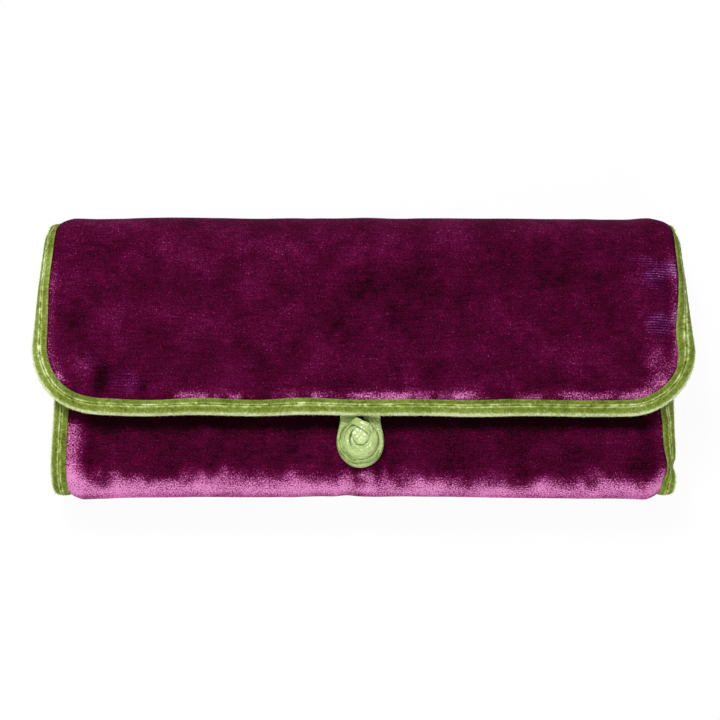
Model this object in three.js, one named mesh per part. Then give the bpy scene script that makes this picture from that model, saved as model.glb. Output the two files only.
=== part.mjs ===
// A padded velvet jewelry roll, folded in three and held shut by a ribbon loop over a rosette button.
// It lies on its back panel: X runs along the folds, Y from the bottom fold to the top fold, Z up.
// All sizes are in millimetres.
import * as THREE from 'three';

// Driving dimensions of the closed roll
const closedDepth = 102;
const frontWidth = 215.5;
const topFoldWidth = 224.5;
const flapWidth = 230;
const flapEdgeFromFold = 25;
const frontReach = 49;
const flapCornerRadius = 22;
const frontCornerRadius = 12;
const insideHeight = 13;
const flapRest = 1;

// Layers of a panel and the ribbon that binds its edge
const velvetThickness = 1.4;
const paddingThickness = 3.4;
const liningThickness = 0.6;
const layerGap = 0.3;
const bindingWidth = 6;
const bindingWall = 0.8;
const crownRun = 10;
const crownMiddle = 0.6;
const paddingTrim = 3;
const hingeGap = 0.6;

// Rosette button and its loop
const buttonFromFold = 16.5;
const buttonFromMiddle = -1.3;
const rosetteRadius = 6.2;
const rosetteHeight = 5.2;
const rosetteDome = 1.6;
const petalThickness = 1.1;
const petalGap = 0.5;
const petalShoulder = 0.85;
const petalRim = 1 / 3;
const budRadius = 0.9;
const buttonBaseRadius = 5;
const buttonBaseThickness = 0.8;
const loopClearance = 0.75;
const loopSlack = 0.45;
const loopEdgeThickness = 1.4;
const loopEdgeHeight = 3.2;
const loopRibbonWidth = 4.2;
const loopRibbonThickness = 1;
const loopSewnLength = 5;
const loopLift = 0.4;

// Zipped pockets on the lining
const pocketMargin = 13.75;
const pocketThickness = 0.7;
const zipTapeWidth = 16;
const zipTapeThickness = 0.6;
const zipTapeMargin = 16.75;
const zipTeethWidth = 4;
const zipTeethHeight = 1.2;
const zipTeethMargin = 25.75;
const zipStopLength = 2.6;
const sliderLength = 9;
const sliderWidth = 8;
const sliderWall = 0.8;
const sliderFromEnd = 6;
const pullLength = 14;
const pullWidth = 3.5;
const pullThickness = 0.8;
const backPocketFromBend = 2.7;
const frontZipFromFold = 21;
const frontPocketFromBinding = 0.2;
const flapZipFromFront = 2;
const flapPocketFromBend = 1.7;

// Stuffed bar that rings slide on, sewn at one end and snapped at the other
const ringBarFromFold = 35;
const ringBarFromZip = 7;
const ringBarDiameter = 10;
const ringBarMargin = 25.75;
const ringBarEndDiameter = 4.4;
const ringBarTaper = 8;
const ringTabWidth = 6;
const ringTabThickness = 0.8;
const ringTabReach = 17;
const snapDiameter = 9;
const snapThickness = 1;

// Smallest gap between pieces that touch on the real object
const seatGap = 0.3;

// Sizes worked out from the driving dimensions
const flapReach = closedDepth - flapEdgeFromFold;
const panelThickness = velvetThickness + paddingThickness + liningThickness + 2 * layerGap;
const midDepth = panelThickness / 2;
const lipHalf = (velvetThickness + liningThickness + layerGap) / 2;
const edgeInset = bindingWall + seatGap;
const bottomRadius = panelThickness + insideHeight / 2;
const frontTop = 2 * bottomRadius;
const topRadius = (frontTop + flapRest + panelThickness) / 2;
const flapTop = 2 * topRadius;
const bottomCentreY = bottomRadius - closedDepth / 2;
const topCentreY = closedDepth / 2 - topRadius;
const flapEdgeY = closedDepth / 2 - flapReach;
const buttonY = buttonFromFold - closedDepth / 2;

// Places of the zips, pockets and ring bar, each from what it has to keep clear of
const pocketLength = frontWidth - 2 * pocketMargin;
const zipTapeLength = frontWidth - 2 * zipTapeMargin;
const zipTeethLength = frontWidth - 2 * zipTeethMargin;
const ringBarLength = frontWidth - 2 * ringBarMargin;
const pocketStart = zipTapeWidth / 2 + seatGap;
const ringBarSide = ringBarFromFold + ringBarDiameter / 2;
const backZipFromFold = closedDepth - ringBarSide - ringBarFromZip - zipTapeWidth / 2;
const backPocketDepth = backZipFromFold - pocketStart - bottomRadius - backPocketFromBend;
const frontPocketEnd = frontReach - bindingWidth - frontPocketFromBinding;
const frontPocketDepth = frontPocketEnd - frontZipFromFold - pocketStart;
const flapZipFromFold = closedDepth - frontReach - flapZipFromFront - zipTapeWidth / 2;
const flapPocketDepth = flapZipFromFold - pocketStart - topRadius - flapPocketFromBend;

// The flat strip runs from the front panel's free edge, round both folds, to the flap's free edge.
const bottomBend = { start: frontReach - bottomRadius, radius: bottomRadius };
const backStart = bottomBend.start + Math.PI * bottomRadius;
const topBend = { start: backStart + topCentreY - bottomCentreY, radius: topRadius };
const flapStart = topBend.start + Math.PI * topRadius;
const flapEnd = flapStart + flapReach - topRadius;

// Facets of the curved faces
const bendFacets = 12;
const cornerFacets = 6;
const noseFacets = 4;
const discFacets = 20;
const barFacets = 16;
const pullFacets = 8;
const rosetteStepsPerTurn = 24;
const loopLegSteps = 4;
const loopArcSteps = 12;

// Colours of the cloths and fittings
const materials = {
  velvet: new THREE.MeshStandardMaterial({ color: '#4d072d', roughness: 0.9 }),
  binding: new THREE.MeshStandardMaterial({ color: '#84943f', roughness: 0.9 }),
  padding: new THREE.MeshStandardMaterial({ color: '#e9e6dc', roughness: 1 }),
  satin: new THREE.MeshStandardMaterial({ color: '#b2c87e', roughness: 0.45 }),
  zip: new THREE.MeshStandardMaterial({ color: '#7d8c3c', roughness: 0.7 }),
  brass: new THREE.MeshStandardMaterial({ color: '#b08d4a', roughness: 0.35, metalness: 1 }),
};

// Bends a point of the flat strip, n below the outer velvet face, round the folds of the closed roll.
function roll(x, s, n) {
  if (s <= bottomBend.start) return [x, bottomCentreY + bottomBend.start - s, frontTop - n];
  if (s <= backStart) {
    const turn = (s - bottomBend.start) / bottomRadius;
    const radius = bottomRadius - n;
    return [x, bottomCentreY - radius * Math.sin(turn), bottomRadius + radius * Math.cos(turn)];
  }
  if (s <= topBend.start) return [x, bottomCentreY + s - backStart, n];
  if (s <= flapStart) {
    const turn = (s - topBend.start) / topRadius;
    const radius = topRadius - n;
    return [x, topCentreY + radius * Math.sin(turn), topRadius - radius * Math.cos(turn)];
  }
  return [x, topCentreY - (s - flapStart), flapTop - n];
}

function bendPoint(bend, eighths) {
  return bend.start + (eighths * Math.PI * bend.radius) / 4;
}

// Panels of the strip, parted where each fold bends
const hingeHalfGap = hingeGap / 2;
const panels = {
  front: {
    from: 0,
    to: bendPoint(bottomBend, 1) - hingeHalfGap,
    corner: frontCornerRadius,
    width: frontWidth,
    freeAtStart: true,
  },
  bottom_fold: { from: bendPoint(bottomBend, 1) + hingeHalfGap, to: bendPoint(bottomBend, 3) - hingeHalfGap },
  back: { from: bendPoint(bottomBend, 3) + hingeHalfGap, to: bendPoint(topBend, 1) - hingeHalfGap },
  top_fold: { from: bendPoint(topBend, 1) + hingeHalfGap, to: bendPoint(topBend, 3) - hingeHalfGap },
  flap: {
    from: bendPoint(topBend, 3) + hingeHalfGap,
    to: flapEnd,
    corner: flapCornerRadius,
    width: flapWidth,
    freeAtStart: false,
  },
};

// Half the strip's width: it flares along the back, and again from the top fold to the flap's corners.
function halfWidthAt(s) {
  const flareEnd = flapEnd - flapCornerRadius;
  const backFlare = THREE.MathUtils.clamp((s - backStart) / (topBend.start - backStart), 0, 1);
  const flapFlare = THREE.MathUtils.clamp((s - flapStart) / (flareEnd - flapStart), 0, 1);
  const alongBack = THREE.MathUtils.lerp(frontWidth, topFoldWidth, backFlare);
  return THREE.MathUtils.lerp(alongBack, flapWidth, flapFlare) / 2;
}

function edgeDistance(panel, x, s) {
  const fromSide = halfWidthAt(s) - Math.abs(x);
  if (!panel.corner) return fromSide;
  const fromEnd = panel.freeAtStart ? s : flapEnd - s;
  const acrossCorner = panel.corner - fromSide;
  const alongCorner = panel.corner - fromEnd;
  if (acrossCorner > 0 && alongCorner > 0) {
    return panel.corner - Math.hypot(acrossCorner, alongCorner);
  }
  return Math.min(fromSide, fromEnd);
}

// Half the padded thickness: a flat lip under the binding, then a rise to the full crown.
function crownHalf(panel, x, s) {
  const distance = edgeDistance(panel, x, s);
  const rise = THREE.MathUtils.smoothstep(distance, bindingWidth, bindingWidth + crownRun);
  return THREE.MathUtils.lerp(lipHalf, panelThickness / 2, rise);
}

// Places along the strip: both ends of a stretch and every facet of the folds between them
function stationsBetween(from, to) {
  const stations = [from, to];
  for (const bend of [bottomBend, topBend]) {
    for (let facet = 0; facet <= bendFacets; facet++) {
      const s = bend.start + (facet * Math.PI * bend.radius) / bendFacets;
      if (s > from + hingeHalfGap && s < to - hingeHalfGap) stations.push(s);
    }
  }
  return stations.sort((a, b) => a - b);
}

// Rows across a panel, each with its place, half width and the turn of the outline there
function panelRows(panel, inset) {
  const straight = (s) => ({ s, halfWidth: halfWidthAt(s) - inset, turn: 0 });
  if (!panel.corner) return stationsBetween(panel.from, panel.to).map(straight);
  const corners = [];
  for (let facet = 1; facet <= cornerFacets; facet++) {
    const turn = (facet * Math.PI) / 2 / cornerFacets;
    const fromEnd = panel.corner - (panel.corner - inset) * Math.sin(turn);
    const halfWidth = panel.width / 2 - panel.corner + (panel.corner - inset) * Math.cos(turn);
    corners.push({ s: panel.freeAtStart ? fromEnd : flapEnd - fromEnd, halfWidth, turn });
  }
  if (!panel.freeAtStart) {
    return [...stationsBetween(panel.from, flapEnd - panel.corner).map(straight), ...corners];
  }
  const crownEnd = Math.max(bindingWidth + crownRun, panel.corner + seatGap);
  const rest = [panel.corner, ...stationsBetween(crownEnd, panel.to)];
  return [...corners.reverse(), ...rest.map(straight)];
}

// Builds a closed geometry from points and faces, turned so that its faces point out.
function closedGeometry(points, faces) {
  const corners = points.map((point) => new THREE.Vector3(...point));
  let volume = 0;
  for (const [a, b, c] of faces) {
    volume += corners[a].dot(new THREE.Vector3().crossVectors(corners[b], corners[c]));
  }
  const outward = volume > 0 ? faces : faces.map(([a, b, c]) => [a, c, b]);
  const geometry = new THREE.BufferGeometry();
  geometry.setAttribute('position', new THREE.Float32BufferAttribute(points.flat(), 3));
  geometry.setIndex(outward.flat());
  geometry.computeVertexNormals();
  return geometry;
}

// One layer of a panel, between an outer and an inner depth that follow the crown
function layerGeometry(panel, inset, outerDepth, innerDepth) {
  const rows = panelRows(panel, inset);
  const crownSteps = [inset, bindingWidth, bindingWidth + paddingTrim, bindingWidth + crownMiddle * crownRun];
  const insets = [...crownSteps, bindingWidth + crownRun].filter((step) => step >= inset);
  const points = [];
  for (const face of [outerDepth, innerDepth]) {
    for (const row of rows) {
      const reach = insets.map((step) => row.halfWidth + inset - step);
      const columns = [...reach.map((x) => -x), 0, ...reach.reverse()];
      for (const x of columns) points.push(roll(x, row.s, face(crownHalf(panel, x, row.s))));
    }
  }
  const columnCount = 2 * insets.length + 1;
  const layerCount = rows.length * columnCount;
  const faces = [];
  const quad = (a, b, c, d) => faces.push([a, b, c], [a, c, d]);
  for (let i = 0; i + 1 < rows.length; i++) {
    for (let j = 0; j + 1 < columnCount; j++) {
      const a = i * columnCount + j;
      const d = a + columnCount;
      quad(a, d, d + 1, a + 1);
      quad(a + layerCount, a + layerCount + 1, d + layerCount + 1, d + layerCount);
    }
    const left = i * columnCount;
    const right = left + columnCount - 1;
    quad(left, left + layerCount, left + layerCount + columnCount, left + columnCount);
    quad(right, right + columnCount, right + layerCount + columnCount, right + layerCount);
  }
  const last = layerCount - columnCount;
  for (let j = 0; j + 1 < columnCount; j++) {
    quad(j, j + 1, j + 1 + layerCount, j + layerCount);
    quad(last + j, last + j + layerCount, last + j + 1 + layerCount, last + j + 1);
  }
  return closedGeometry(points, faces);
}

// Carries a closed section along stations, each of which places a section point in space.
function sweepGeometry(section, stations) {
  const points = stations.flatMap((place) => section.map(([a, b]) => place(a, b)));
  const count = section.length;
  const faces = [];
  for (let i = 0; i + 1 < stations.length; i++) {
    for (let j = 0; j < count; j++) {
      const a = i * count + j;
      const b = i * count + ((j + 1) % count);
      faces.push([a, b, b + count], [a, b + count, a + count]);
    }
  }
  const outline = section.map(([a, b]) => new THREE.Vector2(a, b));
  const cap = THREE.ShapeUtils.triangulateShape(outline, []);
  const turned = THREE.ShapeUtils.isClockWise(outline);
  const last = (stations.length - 1) * count;
  for (const [a, b, c] of cap) {
    const first = turned ? [a, b, c] : [a, c, b];
    faces.push(first, [last + first[0], last + first[2], last + first[1]]);
  }
  return closedGeometry(points, faces);
}

// The folded ribbon in section: a round nose outside, a slot for the panel's lip inside
function bindingSection() {
  const slotHalf = lipHalf + seatGap;
  const outerHalf = slotHalf + bindingWall;
  const nose = [];
  for (let facet = 0; facet <= noseFacets; facet++) {
    const turn = (facet * Math.PI) / noseFacets;
    nose.push([outerHalf * (1 - Math.sin(turn)), midDepth - outerHalf * Math.cos(turn)]);
  }
  return [
    [bindingWidth, midDepth - outerHalf],
    ...nose,
    [bindingWidth, midDepth + outerHalf],
    [bindingWidth, midDepth + slotHalf],
    [edgeInset, midDepth + slotHalf],
    [edgeInset, midDepth - slotHalf],
    [bindingWidth, midDepth - slotHalf],
  ];
}

function bindingStation(side, row, alongSign) {
  const inwardX = -side * Math.cos(row.turn);
  const inwardS = -alongSign * Math.sin(row.turn);
  return (a, n) => roll(side * row.halfWidth + a * inwardX, row.s + a * inwardS, n);
}

function addMesh(group, name, geometry, material) {
  const mesh = new THREE.Mesh(geometry, material);
  mesh.name = name;
  group.add(mesh);
  return mesh;
}

// Velvet, padding, lining and bound edges of one panel
function addPanel(group, name) {
  const panel = panels[name];
  const velvet = layerGeometry(
    panel,
    edgeInset,
    (crown) => midDepth - crown,
    (crown) => midDepth - crown + velvetThickness,
  );
  const padding = layerGeometry(
    panel,
    bindingWidth + paddingTrim,
    (crown) => midDepth - crown + velvetThickness + layerGap,
    (crown) => midDepth + crown - liningThickness - layerGap,
  );
  const lining = layerGeometry(
    panel,
    edgeInset,
    (crown) => midDepth + crown - liningThickness,
    (crown) => midDepth + crown,
  );
  addMesh(group, `${name}_velvet`, velvet, materials.velvet);
  addMesh(group, `${name}_padding`, padding, materials.padding);
  addMesh(group, `${name}_lining`, lining, materials.satin);
  const rows = panelRows(panel, 0);
  if (panel.corner) {
    const alongSign = panel.freeAtStart ? -1 : 1;
    const towardsEdge = panel.freeAtStart ? [...rows].reverse() : rows;
    const left = towardsEdge.map((row) => bindingStation(-1, row, alongSign));
    const right = towardsEdge.map((row) => bindingStation(1, row, alongSign)).reverse();
    const binding = sweepGeometry(bindingSection(), [...left, ...right]);
    addMesh(group, `${name}_binding`, binding, materials.binding);
    return;
  }
  for (const [label, side] of [['left', -1], ['right', 1]]) {
    const binding = sweepGeometry(bindingSection(), rows.map((row) => bindingStation(side, row, 1)));
    addMesh(group, `${name}_binding_${label}`, binding, materials.binding);
  }
}

// A box that stands on the group's own floor, from low to low + height
function standingBox(length, width, height, x, y, low) {
  return new THREE.BoxGeometry(length, width, height).translate(x, y, low + height / 2);
}

function disc(radius, height, x, low) {
  const geometry = new THREE.CylinderGeometry(radius, radius, height, discFacets);
  return geometry.rotateX(Math.PI / 2).translate(x, 0, low + height / 2);
}

// Extrudes an outline in the X-Z plane to both sides of Y = 0.
function sideExtrusion(outline, width) {
  const shape = new THREE.Shape(outline.map(([x, z]) => new THREE.Vector2(x, z)));
  const geometry = new THREE.ExtrudeGeometry(shape, { depth: width, bevelEnabled: false });
  return geometry.rotateX(Math.PI / 2).translate(0, width / 2, 0);
}

// The slider's section: a cover over the teeth with a flange down each side
function sliderGeometry(tapeTop, teethTop) {
  const grooveHalf = zipTeethWidth / 2 + seatGap;
  const outerHalf = sliderWidth / 2;
  const foot = tapeTop + seatGap;
  const ceiling = teethTop + seatGap;
  const outline = [
    [-outerHalf, foot],
    [-grooveHalf, foot],
    [-grooveHalf, ceiling],
    [grooveHalf, ceiling],
    [grooveHalf, foot],
    [outerHalf, foot],
    [outerHalf, ceiling],
    [grooveHalf, ceiling + sliderWall],
    [-grooveHalf, ceiling + sliderWall],
    [-outerHalf, ceiling],
  ];
  return sideExtrusion(outline, sliderLength).rotateZ(Math.PI / 2);
}

function pullGeometry() {
  const round = pullWidth / 2;
  const shape = new THREE.Shape();
  shape.moveTo(0, -round);
  shape.lineTo(pullLength - round, -round);
  shape.absarc(pullLength - round, 0, round, -Math.PI / 2, Math.PI / 2, false);
  shape.lineTo(0, round);
  const options = { depth: pullThickness, bevelEnabled: false, curveSegments: pullFacets };
  return new THREE.ExtrudeGeometry(shape, options);
}

// A zipped pocket, laid out with its zip along Y = 0 and its lining at Z = 0
function addZipPocket(group, name, panelSide, pocketDepth) {
  const tapeTop = seatGap + zipTapeThickness;
  const teethLow = tapeTop + seatGap;
  const teethTop = teethLow + zipTeethHeight;
  const sliderTop = teethTop + seatGap + sliderWall;
  const pocketY = panelSide * (pocketStart + pocketDepth / 2);
  const pocket = standingBox(pocketLength, pocketDepth, pocketThickness, 0, pocketY, seatGap);
  const tape = standingBox(zipTapeLength, zipTapeWidth, zipTapeThickness, 0, 0, seatGap);
  const teeth = standingBox(zipTeethLength, zipTeethWidth, zipTeethHeight, 0, 0, teethLow);
  addMesh(group, `${name}_pocket`, pocket, materials.satin);
  addMesh(group, `${name}_zip_tape`, tape, materials.zip);
  addMesh(group, `${name}_zip_teeth`, teeth, materials.zip);
  for (const [label, side] of [['left', -1], ['right', 1]]) {
    const stopX = side * (zipTeethLength / 2 + seatGap + zipStopLength / 2);
    const stop = standingBox(zipStopLength, zipTeethWidth, zipTeethHeight, stopX, 0, teethLow);
    addMesh(group, `${name}_zip_stop_${label}`, stop, materials.brass);
  }
  const sliderX = zipTeethLength / 2 - sliderFromEnd;
  const slider = addMesh(group, `${name}_zip_slider`, sliderGeometry(tapeTop, teethTop), materials.brass);
  slider.position.x = sliderX;
  const pull = addMesh(group, `${name}_zip_pull`, pullGeometry(), materials.brass);
  pull.position.set(sliderX, 0, sliderTop + seatGap);
}

// The stuffed bar with its sewn anchor, its tab and the two halves of its snap
function addRingBar(group) {
  const barLow = seatGap;
  const barCentre = barLow + ringBarDiameter / 2;
  const reach = ringBarLength / 2;
  const endRadius = ringBarEndDiameter / 2;
  const profile = [
    new THREE.Vector2(0, -reach),
    new THREE.Vector2(endRadius, -reach),
    new THREE.Vector2(ringBarDiameter / 2, ringBarTaper - reach),
    new THREE.Vector2(ringBarDiameter / 2, reach - ringBarTaper),
    new THREE.Vector2(endRadius, reach),
    new THREE.Vector2(0, reach),
  ];
  const bar = new THREE.LatheGeometry(profile, barFacets)
    .rotateZ(-Math.PI / 2)
    .translate(0, 0, barCentre);
  const endX = reach + seatGap;
  const endTop = barCentre + endRadius;
  const anchor = [
    [-endX - ringTabReach, seatGap],
    [-endX, seatGap],
    [-endX, endTop],
    [-endX - 2 * ringTabThickness, endTop],
    [-endX - ringTabReach, seatGap + ringTabThickness],
  ];
  const studTop = seatGap + snapThickness;
  const tabLow = studTop + seatGap;
  const tabTop = tabLow + ringTabThickness;
  const flatFrom = endX + ringTabReach - snapDiameter - seatGap;
  const tab = [
    [endX, endTop - 2 * ringTabThickness],
    [flatFrom, tabLow],
    [endX + ringTabReach, tabLow],
    [endX + ringTabReach, tabTop],
    [flatFrom + ringTabThickness, tabTop],
    [endX, endTop],
  ];
  const snapX = endX + ringTabReach - snapDiameter / 2;
  const snapRadius = snapDiameter / 2;
  addMesh(group, 'ring_bar', bar, materials.velvet);
  addMesh(group, 'ring_bar_anchor', sideExtrusion(anchor, ringTabWidth), materials.satin);
  addMesh(group, 'ring_bar_tab', sideExtrusion(tab, ringTabWidth), materials.satin);
  const stud = disc(snapRadius, snapThickness, snapX, seatGap);
  const cap = disc(snapRadius, snapThickness, snapX, tabTop + seatGap);
  addMesh(group, 'ring_bar_snap_stud', stud, materials.brass);
  addMesh(group, 'ring_bar_snap_cap', cap, materials.brass);
}

// The rosette: one folded ribbon wound outwards from its bud, lower towards its rim
function addRosette(group) {
  const baseLow = seatGap;
  const ribbonLow = baseLow + buttonBaseThickness + seatGap;
  const pitch = petalThickness + petalGap;
  const outerCentre = rosetteRadius - petalThickness / 2;
  const turns = (outerCentre - budRadius) / pitch;
  const steps = Math.round(turns * rosetteStepsPerTurn);
  const side = petalThickness / 2;
  const section = [
    [-side, 0],
    [side, 0],
    [side, petalShoulder],
    [side * petalRim, 1],
    [-side * petalRim, 1],
    [-side, petalShoulder],
  ];
  const centres = [];
  const stations = [];
  for (let step = 0; step <= steps; step++) {
    const angle = (step / steps) * turns * 2 * Math.PI;
    const radius = THREE.MathUtils.lerp(budRadius, outerCentre, step / steps);
    const height = rosetteHeight - rosetteDome * (radius / rosetteRadius) ** 2;
    centres.push(new THREE.Vector2(radius * Math.cos(angle), radius * Math.sin(angle)));
    stations.push((a, b) => {
      const reach = radius + a;
      return [reach * Math.cos(angle), reach * Math.sin(angle), ribbonLow + b * height];
    });
  }
  let leastGap = Infinity;
  centres.forEach((centre, i) => {
    for (const other of centres.slice(i + rosetteStepsPerTurn / 2)) {
      leastGap = Math.min(leastGap, centre.distanceTo(other) - petalThickness);
    }
  });
  console.log(`rosette ribbon: ${turns.toFixed(2)} turns, least gap to itself ${leastGap.toFixed(2)} mm`);
  addMesh(group, 'button_base', disc(buttonBaseRadius, buttonBaseThickness, 0, baseLow), materials.satin);
  addMesh(group, 'button_rosette', sweepGeometry(section, stations), materials.satin);
}

// The loop: flat ribbon at its sewn ends, turned on edge where it passes round the rosette
function addLoop(group, rootY) {
  const edgeCentre = rosetteRadius + loopClearance + loopEdgeThickness / 2;
  const rootCentre = edgeCentre + loopEdgeThickness / 2 - loopRibbonWidth / 2;
  const path = [];
  for (let step = 0; step < loopLegSteps; step++) {
    const along = step / loopLegSteps;
    const x = -THREE.MathUtils.lerp(rootCentre, edgeCentre, along);
    path.push({ x, y: THREE.MathUtils.lerp(rootY, 0, along), turn: 0, onEdge: along });
  }
  for (let step = 0; step <= loopArcSteps; step++) {
    const turn = (step / loopArcSteps) * Math.PI;
    const x = -edgeCentre * Math.cos(turn);
    path.push({ x, y: -(edgeCentre + loopSlack) * Math.sin(turn), turn, onEdge: 1 });
  }
  const legs = path.slice(0, loopLegSteps).reverse();
  for (const leg of legs) path.push({ ...leg, x: -leg.x, turn: Math.PI });
  const section = [[-0.5, 0], [0.5, 0], [0.5, 1], [-0.5, 1]];
  const stations = path.map(({ x, y, turn, onEdge }) => {
    const width = THREE.MathUtils.lerp(loopRibbonWidth, loopEdgeThickness, onEdge);
    const height = THREE.MathUtils.lerp(loopRibbonThickness, loopEdgeHeight, onEdge);
    const outX = -Math.cos(turn);
    const outY = -Math.sin(turn);
    return (a, b) => [x + a * width * outX, y + a * width * outY, loopLift + b * height];
  });
  addMesh(group, 'closure_loop', sweepGeometry(section, stations), materials.satin);
  for (const [label, side] of [['left', -1], ['right', 1]]) {
    const endY = rootY + seatGap + loopSewnLength / 2;
    const sewnX = side * rootCentre;
    const sewn = standingBox(loopRibbonWidth, loopSewnLength, loopRibbonThickness, sewnX, endY, loopLift);
    addMesh(group, `closure_loop_end_${label}`, sewn, materials.satin);
  }
}

const jewelryRoll = new THREE.Group();
for (const name of Object.keys(panels)) addPanel(jewelryRoll, name);

const backPocket = new THREE.Group();
backPocket.position.set(0, backZipFromFold - closedDepth / 2, panelThickness);
addZipPocket(backPocket, 'back', -1, backPocketDepth);

const frontPocket = new THREE.Group();
frontPocket.position.set(0, frontZipFromFold - closedDepth / 2, frontTop - panelThickness);
frontPocket.rotation.x = Math.PI;
addZipPocket(frontPocket, 'front', -1, frontPocketDepth);

const flapPocket = new THREE.Group();
flapPocket.position.set(0, closedDepth / 2 - flapZipFromFold, flapTop - panelThickness);
flapPocket.rotation.x = Math.PI;
addZipPocket(flapPocket, 'flap', -1, flapPocketDepth);

const ringBarSeat = new THREE.Group();
ringBarSeat.position.set(0, closedDepth / 2 - ringBarFromFold, panelThickness);
addRingBar(ringBarSeat);

const buttonSeat = new THREE.Group();
buttonSeat.position.set(buttonFromMiddle, buttonY, frontTop);
addRosette(buttonSeat);
addLoop(buttonSeat, flapEdgeY - seatGap - buttonY);

jewelryRoll.add(backPocket, frontPocket, flapPocket, ringBarSeat, buttonSeat);

export default jewelryRoll;
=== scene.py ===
import math

import bpy
import numpy as np
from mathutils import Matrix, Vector


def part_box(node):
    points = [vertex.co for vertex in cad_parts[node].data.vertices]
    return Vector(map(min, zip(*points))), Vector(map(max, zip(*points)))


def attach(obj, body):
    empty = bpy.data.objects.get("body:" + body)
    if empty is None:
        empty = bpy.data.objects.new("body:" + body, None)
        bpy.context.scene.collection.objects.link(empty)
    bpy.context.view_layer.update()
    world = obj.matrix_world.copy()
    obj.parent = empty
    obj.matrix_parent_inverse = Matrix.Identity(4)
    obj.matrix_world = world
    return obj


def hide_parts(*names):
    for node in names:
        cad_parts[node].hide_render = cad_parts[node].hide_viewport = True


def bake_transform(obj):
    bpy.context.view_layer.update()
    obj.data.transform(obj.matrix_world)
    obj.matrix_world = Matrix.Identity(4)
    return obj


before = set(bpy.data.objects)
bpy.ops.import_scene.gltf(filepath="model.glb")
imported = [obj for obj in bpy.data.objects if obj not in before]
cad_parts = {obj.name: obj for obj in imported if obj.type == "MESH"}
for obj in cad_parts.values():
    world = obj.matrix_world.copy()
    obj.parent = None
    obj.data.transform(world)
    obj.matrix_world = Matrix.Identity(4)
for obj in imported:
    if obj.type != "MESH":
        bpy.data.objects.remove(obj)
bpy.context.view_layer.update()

# A padded velvet jewelry roll. Everything is worked out in millimetres and put into the meshes in metres.
milli = 0.001


def nodeBox(node):
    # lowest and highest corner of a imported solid, in mm
    low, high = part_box(node)
    return np.array(low) / milli, np.array(high) / milli


# Sizes of the roll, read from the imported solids
rollSize = {
    "bottomRadius": nodeBox("front_velvet")[1][2] / 2,
    "topRadius": nodeBox("flap_velvet")[1][2] / 2,
    "bottomEdge": nodeBox("bottom_fold_velvet")[0][1],
    "topEdge": nodeBox("top_fold_velvet")[1][1],
    "frontEdge": nodeBox("front_binding")[1][1],
    "flapEdge": nodeBox("flap_binding")[0][1],
    "frontHalf": nodeBox("front_binding")[1][0],
    "topFoldHalf": nodeBox("top_fold_binding_right")[1][0],
    "flapHalf": nodeBox("flap_binding")[1][0],
    "frontCorner": 12.0,
    "flapCorner": 24.5,
    "thickness": 6.0,        # velvet, wadding and lining together
    "lipHalf": 1.15,         # half the flattened edge that the binding holds
    "bindingWidth": 6.0,
    "crownRun": 10.0,        # the padding rises to its full height over this width
    "liningThickness": 0.6,
    "edgeInset": 1.1,
    "riseLead": 0.6,         # mm of the padding's rise that the binding covers
    "cornerSteps": 22,
    # on the folds: mm from the outermost line where their bulge begins and is full, and what it changes
    "topFoldFade": (27, 8),
    "bottomFoldFade": (24, 6),
    "foldCrownRun": 4.5,
    "foldLipHalf": 0.85,
    "foldRoundness": 0.8,
}
bottomRadius = rollSize["bottomRadius"]
topRadius = rollSize["topRadius"]
bottomY = rollSize["bottomEdge"] + bottomRadius
topY = rollSize["topEdge"] - topRadius
midDepth = rollSize["thickness"] / 2

buttonX, buttonY = ((nodeBox("button_base")[0] + nodeBox("button_base")[1]) / 2)[:2]

# Places along the unrolled strip, from the front's free edge to the flap's
bottomStart = rollSize["frontEdge"] - bottomY
backStart = bottomStart + math.pi * bottomRadius
topStart = backStart + topY - bottomY
flapStart = topStart + math.pi * topRadius
stripEnd = flapStart + topY - rollSize["flapEdge"]
midBottom = (bottomStart + backStart) / 2
midBack = (backStart + topStart) / 2
midTop = (topStart + flapStart) / 2


# The padding swells over the bound sides near the top fold and right of the front, so they are turned down
edgeCurl = {
    "right": math.radians(50),
    "left": math.radians(35),
    "width": 7.0,           # mm from the edge to the line that it turns about
    "ease": 4.0,            # mm over which the turn sets in
    "widening": 14.0,       # mm inside that line over which the velvet is let out
    "leftStretch": 0.011,
}


def curlEdge(x, s, n):
    # turns the outermost strip about a line inside the edge, and lets the velvet out to keep the outline
    topShare = smoothStep(s, midTop + 0.5, midTop + 11) * smoothStep(s, flapStart + 46, flapStart + 8)
    pinch = 0.5 * smoothStep(s, 16, 26) + 0.5 * smoothStep(s, bottomStart - 4, bottomStart + 5)
    frontShare = (x > 0) * pinch * smoothStep(s, bottomStart + 13, bottomStart + 7)
    fullTurn = np.where(x > 0, edgeCurl["right"], edgeCurl["left"]) * (topShare + frontShare)
    past = np.abs(x) - halfWidth(s) + edgeCurl["width"]
    turn = fullTurn * smoothStep(past, 0, edgeCurl["ease"])
    depth = n - midDepth
    let = edgeCurl["width"] * (1 - np.cos(fullTurn)) * smoothStep(past, -edgeCurl["widening"], 0)
    let = let * (1 - 0.5 * frontShare)
    out = halfWidth(s) - edgeCurl["width"] + past * np.cos(turn) - depth * np.sin(turn) + let
    # the top left is also drawn out a little
    drawn = smoothStep(s, topStart, midTop) * smoothStep(s, flapStart + 50, flapStart + 10) * (x < 0)
    out = out * (1 + edgeCurl["leftStretch"] * drawn)
    return np.sign(x) * out, midDepth + past * np.sin(turn) + depth * np.cos(turn)


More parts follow.
